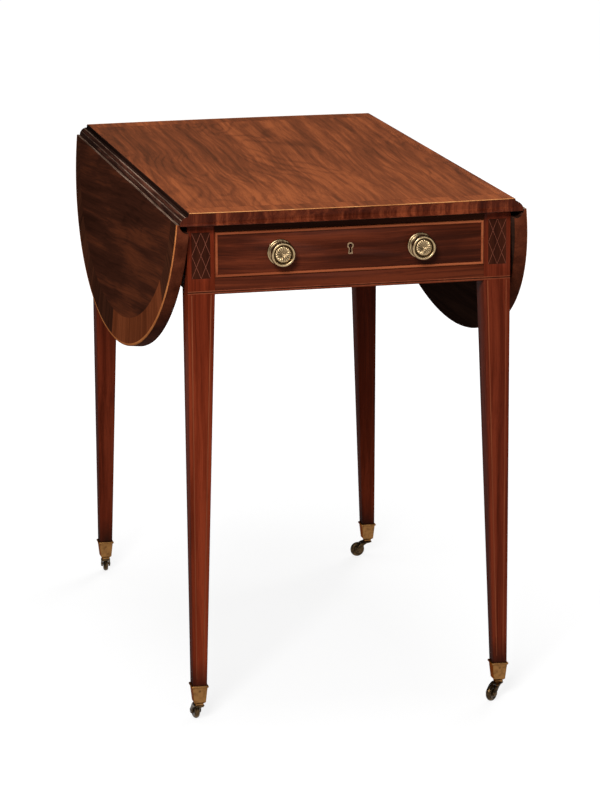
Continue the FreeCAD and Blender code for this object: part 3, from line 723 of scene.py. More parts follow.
class Shape:
    """Collects the vertices and faces of one mesh, each face with its finish."""

    def __init__(self) -> None:
        """Starts an empty mesh."""
        self.points: list[Point] = []
        self.faces: list[tuple[int, ...]] = []
        self.finishes: list[Finish] = []
        self.veneer: dict[int, Point] = {}

    def add(self, points: Iterable[Sequence[float]]) -> list[int]:
        """Adds vertices.

        Args:
            points: Their places.

        Returns:
            Their numbers.
        """
        first = len(self.points)
        self.points.extend(tuple(point) for point in points)
        return list(range(first, len(self.points)))

    def face(self, ids: Iterable[int], finish: Finish) -> None:
        """Adds one face."""
        self.faces.append(tuple(ids))
        self.finishes.append(finish)

    def strip(self, first: Sequence[int], second: Sequence[int], finishes: Finish | Sequence[Finish],
              closed: bool = False) -> None:
        """Joins two chains of equal length with quads.

        Args:
            first: Numbers of one chain.
            second: Numbers of the other chain.
            finishes: Finish of all the quads, or one for each.
            closed: Whether the chains are rings.
        """
        for i in range(len(first) if closed else len(first) - 1):
            j = (i + 1) % len(first)
            finish = finishes if isinstance(finishes, Finish) else finishes[i]
            self.face((first[i], first[j], second[j], second[i]), finish)

    def loft(self, rings: Sequence[Sequence[int]], finish: Finish, endless: bool = False) -> None:
        """Joins rings in turn into a closed form.

        Args:
            rings: Numbers of each ring.
            finish: Finish of all the faces.
            endless: Whether the last ring joins the first, in place of a cap on each.
        """
        for i in range(len(rings) if endless else len(rings) - 1):
            self.strip(rings[i], rings[(i + 1) % len(rings)], finish, closed=True)
        if not endless:
            self.face(reversed(rings[0]), finish)
            self.face(rings[-1], finish)

    def lathe(self, profile: Sequence[Pair], count: int, place: Placer, finish: Finish,
              endless: bool = False) -> None:
        """Turns a profile about an axis.

        Args:
            profile: Radius and height of each ring.
            count: Vertices in a ring.
            place: Gives a vertex from its radius, height and angle.
            finish: Finish of all the faces.
            endless: Whether the profile is closed, as round a bore.
        """
        turns = [2.0 * math.pi * i / count for i in range(count)]
        rings = [self.add(place(radius, rise, turn) for turn in turns) for radius, rise in profile]
        self.loft(rings, finish, endless)

    def build(self, name: str, sharp: float = DRAWN_SHARP) -> Piece:
        """Makes the object, its faces turned outward and its sharp edges marked.

        Args:
            name: Name of the piece.
            sharp: Angle in degrees over which an edge stays sharp.

        Returns:
            The object, linked to the scene.
        """
        mesh = bpy.data.meshes.new(name)
        mesh.from_pydata(self.points, [], self.faces)
        used = list(dict.fromkeys(self.finishes))
        for finish in used:
            mesh.materials.append(finish.material)
        mesh.polygons.foreach_set("material_index", [used.index(finish) for finish in self.finishes])
        if self.veneer:
            layer = mesh.attributes.new("veneer", "FLOAT_VECTOR", "POINT")
            for i, value in self.veneer.items():
                layer.data[i].vector = value
        work = bmesh.new()
        work.from_mesh(mesh)
        bmesh.ops.recalc_face_normals(work, faces=work.faces)
        work.to_mesh(mesh)
        work.free()
        shade(mesh, sharp)
        return link(name, mesh)


def shade(mesh: bpy.types.Mesh, sharp: float) -> None:
    """Smooths a mesh.

    Args:
        mesh: Mesh to shade.
        sharp: Angle in degrees over which an edge stays sharp.
    """
    mesh.polygons.foreach_set("use_smooth", [True] * len(mesh.polygons))
    mesh.set_sharp_from_angle(angle=math.radians(sharp))
    mesh.update()


def link(name: str, data: bpy.types.ID) -> bpy.types.Object:
    """Adds an object to the scene.

    Args:
        name: Name of the object.
        data: Its mesh, light or camera.

    Returns:
        The object.
    """
    made = bpy.data.objects.new(name, data)
    bpy.context.scene.collection.objects.link(made)
    return made


def seat(piece: Piece, body: str, slot: str, *nodes: str) -> Piece:
    """Sets a new piece on its body and hides the solids that it replaces.

    Args:
        piece: The piece.
        body: Body that it rides on.
        slot: Material slot of the record; not used.
        nodes: Solids that it replaces.

    Returns:
        The piece.
    """
    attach(piece, body)
    if nodes:
        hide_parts(*nodes)
    LOG.info("%s rides on %s, %d faces", piece.name, body, len(piece.data.polygons))
    return piece


def paint(node: str, finish: Finish) -> None:
    """Gives a solid that stays in view its finish.

    Args:
        node: The solid.
        finish: Its finish.
    """
    mesh = frame["nodes"][node].data
    mesh.materials.clear()
    mesh.materials.append(finish.material)
    LOG.info("%s keeps its solid and takes %s", node, finish.material.name)


def eased(node: str, finish: Finish, slot: str, width: float, angle: float = 25.0,
          worn: Finish | None = None) -> Piece:
    """Copies a solid and eases its sharp edges, as handling does.

    Args:
        node: The solid.
        finish: Its finish.
        slot: Material slot of the record.
        width: Width of the eased edges.
        angle: Angle in degrees over which an edge is eased.
        worn: Finish of the eased edges, where it differs: lighter rubbed wear, and on the caster cups also a
            painted highlight along the lip.

    Returns:
        The piece that replaces the solid.
    """
    solid = frame["nodes"][node]
    mesh = solid.data.copy()
    mesh.name = node + "_eased"
    work = bmesh.new()
    work.from_mesh(mesh)
    bmesh.ops.remove_doubles(work, verts=work.verts, dist=2e-6)
    bmesh.ops.dissolve_limit(work, angle_limit=math.radians(0.6), verts=work.verts, edges=work.edges)
    sharp = [edge for edge in work.edges if len(edge.link_faces) == 2
             and edge.calc_face_angle(0.0) > math.radians(angle)]
    for face in work.faces:
        face.material_index = 0
    rounds = bmesh.ops.bevel(work, geom=sharp, offset=width, segments=2, profile=0.5, affect="EDGES",
                             clamp_overlap=True)
    for face in rounds["faces"]:
        face.material_index = 1
    bmesh.ops.recalc_face_normals(work, faces=work.faces)
    work.to_mesh(mesh)
    work.free()
    mesh.materials.clear()
    for used in (finish, worn or finish):
        mesh.materials.append(used.material)
    if mesh.has_custom_normals:
        mesh.attributes.remove(mesh.attributes["custom_normal"])
    shade(mesh, EASED_SHARP)
    return seat(link(node + "_eased", mesh), solid["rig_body"], slot, node)


def cutter(low: Point, high: Point, finish: Finish) -> Piece:
    """Block that a recess is cut with.

    Args:
        low: Lowest corner.
        high: Highest corner.
        finish: Finish of the cut faces.

    Returns:
        The block, which carve removes.
    """
    shape = Shape()
    (left, front, down), (right, back, up) = low, high
    shape.loft([shape.add([(x, front, down), (x, back, down), (x, back, up), (x, front, up)])
                for x in (left, right)], finish)
    return shape.build("cutter")


def carve(piece: Piece, cutters: Sequence[Piece]) -> None:
    """Cuts recesses out of a piece and removes the cutters.

    Args:
        piece: The piece.
        cutters: Blocks and rods to cut with, each of one finish.
    """
    for block in cutters:
        material = block.data.materials[0]
        if material.name not in piece.data.materials:
            piece.data.materials.append(material)
        slot = piece.data.materials.find(material.name)
        block.data.materials.clear()
        block.data.polygons.foreach_set("material_index", [slot] * len(block.data.polygons))
        rule = piece.modifiers.new("recess", "BOOLEAN")
        rule.operation = "DIFFERENCE"
        rule.solver = "EXACT"
        rule.object = block
        bpy.context.view_layer.update()
        graph = bpy.context.evaluated_depsgraph_get()
        cut = bpy.data.meshes.new_from_object(piece.evaluated_get(graph), preserve_all_data_layers=True,
                                              depsgraph=graph)
        piece.modifiers.clear()
        piece.data = cut
        bpy.data.objects.remove(block)
    shade(piece.data, DRAWN_SHARP)


class Turn(NamedTuple):
    """Point of the bed's section, the way it shrinks, and the finish of the run that starts at it."""

    x: float
    z: float
    dx: float
    dz: float
    finish: Finish


@dataclass
class BedBoard:
    """Fixed top with bowed ends, crossbands, end strings and rule-joint edges."""

    bow: float = 0.006
    arris: float = 0.0006
    joint_arris: float = 0.0014
    string: float = 0.0022
    band: float = 0.036
    line: float = 0.0012
    top_steps: int = 12
    # Steps of the ovolo next to the fillet that take the painted shade
    ovolo_steps: int = 14
    dirty_steps: int = 3
    # Steps of the ovolo that take the pale lip finish as painted highlight lines
    light_steps: tuple[int, ...] = (3, 8)
    plate_reach: float = 0.034
    barrel_room: float = 0.0038
    swing_room: float = 0.0006
    overrun: float = 0.004
    corner_shrink: float = 0.7

    def end_y(self, x: float) -> float:
        """Place of the front end at a distance from the middle line."""
        radius = (TABLE.joint ** 2 + self.bow ** 2) / (2.0 * self.bow)
        return -TABLE.half_length - self.bow + radius - math.sqrt(radius ** 2 - x ** 2)

    def moulding(self, step: int) -> Finish:
        """Finish of one step down the ovolo: painted shade near the fillet, then old polish with painted
        highlight lines.

        Args:
            step: Number of the step from the fillet.

        Returns:
            The finish.
        """
        if step < self.dirty_steps:
            return Finish.GROOVE
        return Finish.LIP if step in self.light_steps else Finish.JOINT

    def half_section(self) -> list[Turn]:
        """Right half of the section, from the middle of the top to the middle of the underside.

        Returns:
            Its points in turn.
        """
        joint, top, low, ease = TABLE.joint, TABLE.height, TABLE.underside, self.joint_arris
        toe, cut = joint + TABLE.ovolo, ARRIS_CUT * ease
        across = [joint * i / self.top_steps for i in range(self.top_steps)]
        section = [Turn(x, top, 0.0, -1.0, Finish.BED) for x in across]
        # The joint's arris takes the painted shade finish, a dark line along the long edge
        section.append(Turn(joint - ease, top, 0.0, -1.0, Finish.GROOVE))
        section.append(Turn(joint - cut, top - cut, -self.corner_shrink, -self.corner_shrink, Finish.GROOVE))
        section.append(Turn(joint, top - ease, -1.0, 0.0, Finish.GROOVE))
        for i in range(self.ovolo_steps + 1):
            turn = math.pi / 2.0 * (1.0 - i / self.ovolo_steps)
            out, up = math.cos(turn), math.sin(turn)
            section.append(Turn(joint + TABLE.ovolo * out, TABLE.pin_z + TABLE.ovolo * up, -out, -up,
                                self.moulding(i)))
        section.append(Turn(toe, low + ease, -1.0, 0.0, Finish.JOINT))
        section.append(Turn(toe - ease, low, 0.0, 1.0, Finish.UNDER))
        section.extend(Turn(x, low, 0.0, 1.0, Finish.UNDER) for x in reversed(across))
        return section

    def build(self) -> Piece:
        """Makes the board.

        Returns:
            The piece.
        """
        right = self.half_section()
        left = [turn._replace(x=-turn.x, dx=-turn.dx) for turn in reversed(right[1:-1])]
        runs = [turn.finish for turn in right[:-1]]
        runs = runs + runs[::-1]
        inner = self.string + self.band
        insets = [(self.arris, 0.0), (0.0, self.arris), (0.0, self.string), (0.0, inner),
                  (0.0, inner + self.line)]
        shape = Shape()
        rings = []
        for end, rows in ((End.FRONT, insets), (End.BACK, insets[::-1])):
            for shrink, back in rows:
                rings.append(shape.add((turn.x + turn.dx * shrink, -end.value * (self.end_y(turn.x) + back),
                                        turn.z + turn.dz * shrink) for turn in right + left))
        front = [Finish.BOX, Finish.BOX, Finish.BED_BAND, Finish.LINE]
        for top, first, second in zip(front + [Finish.BED] + front[::-1], rings, rings[1:]):
            shape.strip(first, second, [top if run is Finish.BED else run for run in runs], closed=True)
        shape.face(rings[0], Finish.BED_END)
        shape.face(reversed(rings[-1]), Finish.BED_END)
        made = shape.build("bed_board")
        carve(made, self.recesses())
        return seat(made, "table", "figured_mahogany", "bed_top")

    def recesses(self) -> list[Piece]:
        """Makes cutters for the hinge plates, their barrels and the swing of the leaf plates.

        Returns:
            The cutters.
        """
        joint, room, low = TABLE.joint, self.barrel_room, TABLE.underside - self.overrun
        wide = TABLE.hinge_half + self.swing_room
        spans = ((joint - self.plate_reach, joint, TABLE.hinge_half, TABLE.underside + TABLE.plate_depth),
                 (joint - room, joint + room, wide, TABLE.pin_z + room),
                 (joint, joint + TABLE.ovolo + self.overrun, wide, TABLE.pin_z + self.swing_room))
        blocks = []
        for side in Side:
            for y in TABLE.hinges:
                for inner, outer, half, high in spans:
                    left, right = sorted((side.value * inner, side.value * outer))
                    blocks.append(cutter((left, y - half, low), (right, y + half, high), Finish.UNDER))
        return blocks


@dataclass
class DropLeaf:
    """One hanging leaf with its band, edge string, rule-joint hollow and hinge recesses."""

    side: Side
    reach: float = 0.233
    cove: float = 0.0118
    lip: float = 0.0006
    arris: float = 0.0018
    string: float = 0.0018
    band: float = 0.036
    steps: int = 96
    # Steps round the rim where the band takes its painted lit copy; the rest takes the painted shaded copy
    light_band: tuple[int, int] = (48, 80)
    round_steps: int = 4
    plate_reach: float = 0.048
    overrun: float = 0.004
    heel_rise: float = 0.010
    end_overrun: float = 0.02

    def rim(self, inset: float) -> list[Pair]:
        """Outline of the leaf set in from its edge, from the back round to the front.

        Args:
            inset: Distance from the edge.

        Returns:
            Places along the joint and heights, on a plumb leaf.
        """
        long, deep = TABLE.half_length, self.reach
        start = self.lip / (deep - inset * long / deep)
        points = []
        for i in range(self.steps + 1):
            turn = start + (math.pi - 2.0 * start) * i / self.steps
            out = Vector((math.cos(turn) / long, math.sin(turn) / deep)).normalized()
            points.append((long * math.cos(turn) - inset * out.x,
                           TABLE.pin_z - deep * math.sin(turn) + inset * out.y))
        for i in (0, -1):
            points[i] = (points[i][0], TABLE.pin_z - self.lip)
        return points

    def build(self) -> Piece:
        """Makes the leaf.

        Returns:
            The piece.
        """
        shape = Shape()
        ease, face, back = self.arris, TABLE.leaf_face, TABLE.leaf_back
        insets = (ease + self.string + self.band, ease + self.string, ease)
        rings = [shape.add((face, y, z) for y, z in self.rim(inset)) for inset in insets]
        for ring, inset in zip(rings, insets):
            self.lay(shape, ring, inset)
        turns = [math.pi / 2.0 * i / self.round_steps for i in range(1, self.round_steps + 1)]
        edges = [(face - ease * (1.0 - math.cos(turn)), ease * (1.0 - math.sin(turn))) for turn in turns]
        cut = ARRIS_CUT * ease
        edges += [(back + ease, 0.0), (back + cut, cut), (back, ease)]
        rings.extend(shape.add((x, y, z) for y, z in self.rim(inset)) for x, inset in edges)
        start, stop = self.light_band
        shape.face(rings[0], Finish.LEAF)
        # Band in its painted lit copy on the lower front of the rim, in its painted shaded copy elsewhere
        shape.strip(rings[0], rings[1], [Finish.LEAF_BAND if start <= i < stop else Finish.DARK_BAND
                                         for i in range(self.steps)])
        for i, (first, second) in enumerate(zip(rings[1:], rings[2:])):
            shape.strip(first, second, Finish.RIM if i < self.round_steps else Finish.EDGE)
        shape.face(reversed(rings[-1]), Finish.UNDER)
        shape.face([ring[0] for ring in rings] + [ring[-1] for ring in reversed(rings)], Finish.LIP)
        made = shape.build("leaf_board_" + self.side.word)
        carve(made, self.recesses())
        self.swing(made)
        return seat(made, self.side.word + "_leaf", "figured_mahogany", "leaf_" + self.side.word)

    def lay(self, shape: Shape, ring: Sequence[int], inset: float) -> None:
        """Lays out the veneer of the band along its curve.

        Args:
            shape: Mesh in the making.
            ring: Vertices of one ring.
            inset: The ring's distance from the edge.
        """
        outline = [Vector((0.0, y, z)) for y, z in self.rim(self.arris)]
        along = 0.0
        for i, number in enumerate(ring):
            along += (outline[i] - outline[i - 1]).length if i else 0.0
            shape.veneer[number] = (along, inset, 0.0)

    def recesses(self) -> list[Piece]:
        """Makes cutters for the rule joint's hollow, the heel and the hinge plates.

        Returns:
            The cutters.
        """
        joint, pin, half = TABLE.joint, TABLE.pin_z, TABLE.hinge_half
        long, behind = TABLE.half_length + self.end_overrun, TABLE.leaf_back - self.overrun
        hollow = Shape()
        hollow.lathe([(self.cove, -long), (self.cove, long)], self.steps,
                     lambda r, h, a: (joint + r * math.cos(a), h, pin + r * math.sin(a)), Finish.JOINT)
        blocks = [hollow.build("cutter")]
        blocks.append(cutter((behind, -long, pin - self.cove), (joint, long, pin + self.heel_rise),
                             Finish.JOINT))
        bed = TABLE.leaf_back + TABLE.plate_depth
        for y in TABLE.hinges:
            low, high = (behind, y - half, pin - self.plate_reach), (bed, y + half, pin + self.overrun)
            blocks.append(cutter(low, high, Finish.UNDER))
        return blocks

    def swing(self, piece: Piece) -> None:
        """Hangs the leaf at its lean and sets it on its side of the bed.

        Args:
            piece: The leaf, drawn plumb on the right.
        """
        piece.data.transform(TABLE.lean)
        if self.side is Side.LEFT:
            piece.data.transform(Matrix.Scale(-1.0, 4, (1.0, 0.0, 0.0)))
            piece.data.flip_normals()
        shade(piece.data, DRAWN_SHARP)


@dataclass
class Frame:
    """Legs, rails and fly brackets, with the inlay of the show faces."""

    leg_edge: float = 0.0007
    rail_edge: float = 0.0004
    oak_angle: float = 35.0
    panel_x: float = 0.20394
    panel_z: float = 0.650
    panel_width: float = 0.025
    panel_height: float = 0.062
    line: float = 0.0005
    proud: float = 0.00006
    let_in: float = 0.0004

    def build(self) -> None:
        """Dresses the frame."""
        for end in End:
            for side in Side:
                # Front right and back left legs take the darker copy, as painted shade where less light
                # reaches them
                wood = Finish.LEG if end.value == side.value else Finish.DARK_LEG
                eased(f"leg_{end.word}_{side.word}", wood, "mahogany", self.leg_edge, worn=Finish.WORN)
                self.lattice(end, side)
        # The top rail takes the near-black finish, a painted shadow under the bed's overhang
        eased("top_rail_front", Finish.TOP_RAIL, "mahogany", self.rail_edge)
        for node in ("bottom_rail_front", "back_rail"):
            eased(node, Finish.RAIL, "mahogany", self.rail_edge)
        for side in Side:
            for node in ("side_rail", "hinge_rail", "fly_bracket"):
                eased(f"{node}_{side.word}", Finish.OAK, "oak", self.rail_edge, self.oak_angle)
        paint("drawer_runners", Finish.OAK)
        paint("light_stringing", Finish.LINE)
        paint("dark_inlay", Finish.EBONY)

    def lattice(self, end: End, side: Side) -> Piece:
        """Thin light lines in diamonds over one dark panel.

        Args:
            end: End of the table.
            side: Side of the table.

        Returns:
            The piece.
        """
        shape = Shape()
        half, tall = self.panel_width / 2.0, self.panel_height / 2.0
        for flip in (half, -half):
            for (u0, v0), (u1, v1) in (((-1, 1), (1, -1)), ((0, 1), (1, 0)), ((-1, 0), (0, -1))):
                start, stop = Vector((flip * u0, tall * v0)), Vector((flip * u1, tall * v1))
                self.lay_line(shape, start, stop, end, side)
        return seat(shape.build(f"lattice_lines_{end.word}_{side.word}"), "table", "boxwood")

    def lay_line(self, shape: Shape, start: Vector, stop: Vector, end: End, side: Side) -> None:
        """Adds one line of the lattice, a thin flat strip let into the panel.

        Args:
            shape: Mesh in the making.
            start: Start on the panel.
            stop: End on the panel.
            end: End of the table.
            side: Side of the table.
        """
        run = (stop - start).normalized()
        across = Vector((-run.y, run.x)) * self.line / 2.0
        start, stop = start + run * self.line, stop - run * self.line
        flat = [start - across, stop - across, stop + across, start + across]
        rings = []
        for out in (self.proud, -self.let_in):
            y = end.value * (TABLE.face_y + out)
            rings.append(shape.add((side.value * self.panel_x + point.x, y, self.panel_z + point.y)
                                   for point in flat))
        shape.loft(rings, Finish.LATTICE)


@dataclass
class DrawerEnd:
    """Drawer with its bead, lock, lining and boards, and the dummy drawer of the far end."""

    half_width: float = 0.18474
    low: float = 0.6197
    high: float = 0.6803
    bead_width: float = 0.0036
    bead_proud: float = 0.0024
    bead_depth: float = 0.0044
    bead_steps: int = 10
    bead_fullness: float = 0.8
    bead_sharp: float = 40.0
    edge: float = 0.0004
    lining_edge: float = 0.0003

    def build(self) -> None:
        """Dresses both ends."""
        for node in ("drawer_front", "dummy_drawer_front"):
            eased(node, Finish.DRAWER, "mahogany", self.edge)
        for side in Side:
            eased("drawer_side_" + side.word, Finish.OAK, "oak", self.edge)
        for node in ("drawer_back", "drawer_bottom"):
            eased(node, Finish.OAK_CROSS, "oak", self.edge)
        self.bead(End.FRONT, "drawer", "drawer_bead")
        self.bead(End.BACK, "table", "dummy_bead")
        eased("escutcheon", Finish.DULL_BRASS, "brass", self.lining_edge)
        paint("lock_case", Finish.CAST_BRASS)
        paint("lock_bolt", Finish.BRASS)

    def bead(self, end: End, body: str, node: str) -> Piece:
        """Half-round bead mitred round a drawer front.

        Args:
            end: End of the table.
            body: Body that it rides on.
            node: Solid that it replaces.

        Returns:
            The piece.
        """
        shape = Shape()
        half = self.bead_width / 2.0
        section = [(self.bead_width, -self.bead_depth), (self.bead_width, 0.0)]
        for i in range(1, self.bead_steps):
            turn = math.pi * i / self.bead_steps
            out = self.bead_proud * math.sin(turn) ** self.bead_fullness
            section.append((half + half * math.cos(turn), out))
        section += [(0.0, 0.0), (0.0, -self.bead_depth)]
        rings = []
        for inset, out in section:
            x, y = self.half_width - inset, end.value * (TABLE.face_y + out)
            low, high = self.low + inset, self.high - inset
            rings.append(shape.add([(-x, y, low), (x, y, low), (x, y, high), (-x, y, high)]))
        shape.loft(rings, Finish.BEAD, endless=True)
        return seat(shape.build(node + "_round", self.bead_sharp), body, "bead_mahogany", node)


@dataclass
class Knobs:
    """Stamped round knobs: milled plate, waisted neck, ringed head and fluted rosette."""

    place_x: float = 0.09643
    place_z: float = 0.650
    count: int = 192
    sharp: float = 45.0
    plate_face: float = 1.2
    plate_edge: float = 17.5
    mills: int = 48
    mill_depth: float = 0.28
    rosette_foot: float = 18.0
    rosette: Pair = (2.0, 11.0)
    petals: int = 18
    petal_depth: float = 0.85
    petal_middle: float = 0.7
    petal_swell: float = 0.6
    petal_bluntness: float = 0.7

    def profile(self) -> list[Pair]:
        """Profile of a knob, from the wood to the middle of its face.

        Returns:
            Radius and reach of each ring in millimetres.
        """
        plate = [(17.2, 0.0), (18.0, 0.4), (18.0, 1.1), (17.4, 2.0), (16.2, 2.5), (15.4, 2.2), (14.8, 2.4)]
        neck = [(13.6, 3.8), (11.6, 5.4), (9.2, 6.6), (7.4, 7.8), (6.6, 9.2), (7.0, 10.6), (9.0, 12.2),
                (12.4, 13.4)]
        ring = [(14.8, 14.0), (16.0, 14.9), (16.8, 16.1), (17.0, 17.6), (16.8, 19.0), (16.3, 20.2),
                (15.6, 21.1), (14.8, 21.6), (14.0, 21.6), (13.3, 21.2), (12.7, 20.3), (12.3, 19.1),
                (12.0, 18.3), (11.7, 17.9)]
        rosette = [(11.4, 18.0), (11.2, 18.7), (10.9, 19.4), (10.4, 19.9), (9.6, 20.2), (8.4, 20.3),
                   (7.0, 20.1), (5.6, 19.8), (4.2, 19.4), (3.0, 18.9), (2.2, 18.4)]
        button = [(1.6, 18.2), (1.2, 18.6), (0.7, 18.9), (0.3, 19.0)]
        return plate + neck + ring + rosette + button

    def relief(self, radius: float, reach: float, turn: float) -> Pair:
        """Adds the milling of the plate and the petals of the rosette.

        Args:
            radius: Radius in millimetres.
            reach: Reach from the wood in millimetres.
            turn: Angle round the knob.

        Returns:
            The changed radius and reach.
        """
        inner, outer = self.rosette
        if reach < self.plate_face and radius > self.plate_edge:
            return radius - self.mill_depth * (0.5 + 0.5 * math.cos(self.mills * turn)), reach
        if inner < radius < outer and reach > self.rosette_foot:
            swell = math.sin(math.pi * (radius - inner) / (outer - inner)) ** self.petal_swell
            lobe = abs(math.cos(self.petals * turn / 2.0)) ** self.petal_bluntness
            return radius, reach + self.petal_depth * swell * (lobe - self.petal_middle)
        return radius, reach

    def vertex(self, end: End, side: Side, radius: float, reach: float, turn: float) -> Point:
        """Place of one vertex of a knob.

        Args:
            end: End of the table.
            side: Side of the table.
            radius: Radius in millimetres.
            reach: Reach from the wood in millimetres.
            turn: Angle round the knob.

        Returns:
            The place.
        """
        wide, out = self.relief(radius, reach, turn)
        return (side.value * self.place_x + wide * MM * math.cos(turn),
                end.value * (TABLE.face_y + out * MM), self.place_z + wide * MM * math.sin(turn))

    def build(self) -> None:
        """Makes the knobs of both ends."""
        for end, body, node in ((End.FRONT, "drawer", "drawer_knobs"), (End.BACK, "table", "dummy_knobs")):
            shape = Shape()
            for side in Side:
                place = functools.partial(self.vertex, end, side)
                shape.lathe(self.profile(), self.count, place, Finish.BRASS)
            seat(shape.build(node + "_stamped", self.sharp), body, "brass", node)


@dataclass(frozen=True)
class Screw:
    """Low screw head with a slit across it."""

    radius: float
    taper: float
    rise: float
    slit: float
    sunk: float = 0.0
    steps: int = 12

    def add(self, shape: Shape, finish: Finish, place: Placer) -> None:
        """Adds the head as two halves beside the slit.

        Args:
            shape: Mesh in the making.
            finish: Finish of the screw.
            place: Gives a vertex from its place along the slit, across it and above the seat.
        """
        for half in (1.0, -1.0):
            rings = []
            for radius, rise in ((self.radius, -self.sunk), (self.radius * self.taper, self.rise)):
                start = math.asin(self.slit / 2.0 / radius)
                turns = [start + (math.pi - 2.0 * start) * i / self.steps for i in range(self.steps + 1)]
                rings.append(shape.add(place(radius * math.cos(turn), half * radius * math.sin(turn), rise)
                                       for turn in turns))
            shape.loft(rings, finish)


@dataclass
class LeafHinges:
    """Iron table hinges and their screws, each given by its distance from the pin and along the plate."""

    bed_screws: tuple[Pair, ...] = ((0.013, -0.012), (0.013, 0.012), (0.028, 0.0))
    leaf_screws: tuple[Pair, ...] = ((0.022, -0.012), (0.022, 0.012), (0.040, 0.0))
    screw: Screw = Screw(radius=0.0031, taper=0.86, rise=0.0004, slit=0.0008)

    def under_bed(self, side: Side, reach: float, y: float, along: float, across: float,
                  rise: float) -> Point:
        """Vertex of a screw head under the bed."""
        return (side.value * (TABLE.joint - reach + along), y + across, TABLE.underside - rise)

    def on_leaf(self, side: Side, reach: float, y: float, along: float, across: float,
                rise: float) -> Point:
        """Vertex of a screw head on a leaf's back."""
        point = TABLE.lean @ Vector((TABLE.leaf_back - rise, y + across, TABLE.pin_z - reach + along))
        return (side.value * point.x, point.y, point.z)

    def build(self) -> None:
        """Dresses the hinges."""
        paint("bed_hinge_plates", Finish.IRON)
        beds = Shape()
        for side in Side:
            paint("leaf_hinge_plates_" + side.word, Finish.IRON)
            leaf = Shape()
            for y in TABLE.hinges:
                for shape, places, spot in ((beds, self.bed_screws, self.under_bed),
                                            (leaf, self.leaf_screws, self.on_leaf)):
                    for reach, shift in places:
                        self.screw.add(shape, Finish.IRON, functools.partial(spot, side, reach, y + shift))
            seat(leaf.build("leaf_hinge_screws_" + side.word), side.word + "_leaf", "iron")
        seat(beds.build("bed_hinge_screws"), "table", "iron")


@dataclass
class Cups:
    """Tapered brass cups on the feet, each held by a screw at the front and one at the back."""

    edge: float = 0.0005
    screw_z: float = 0.0455
    face: float = 0.0098
    slant: float = 5.6
    screw: Screw = Screw(radius=0.0017, taper=0.8, rise=0.0003, slit=0.0006, sunk=0.0002, steps=10)

    def on_cup(self, end: End, side: Side, way: int, along: float, across: float, rise: float) -> Point:
        """Vertex of a screw head on a cup's sloping face."""
        out = way * (self.face + rise + across * math.tan(math.radians(self.slant)))
        return (side.value * TABLE.foot_x + along, end.value * TABLE.foot_y + out, self.screw_z + across)

    def build(self) -> None:
        """Dresses the cups."""
        # Cups' eased edges take the brighter brass: rubbed wear, and a painted highlight along the lip
        eased("caster_cups", Finish.CAST_BRASS, "brass", self.edge, worn=Finish.BRASS)
        shape = Shape()
        for end in End:
            for side in Side:
                for way in (1, -1):
                    self.screw.add(shape, Finish.CAST_BRASS, functools.partial(self.on_cup, end, side, way))
        seat(shape.build("cup_screws"), "table", "brass")


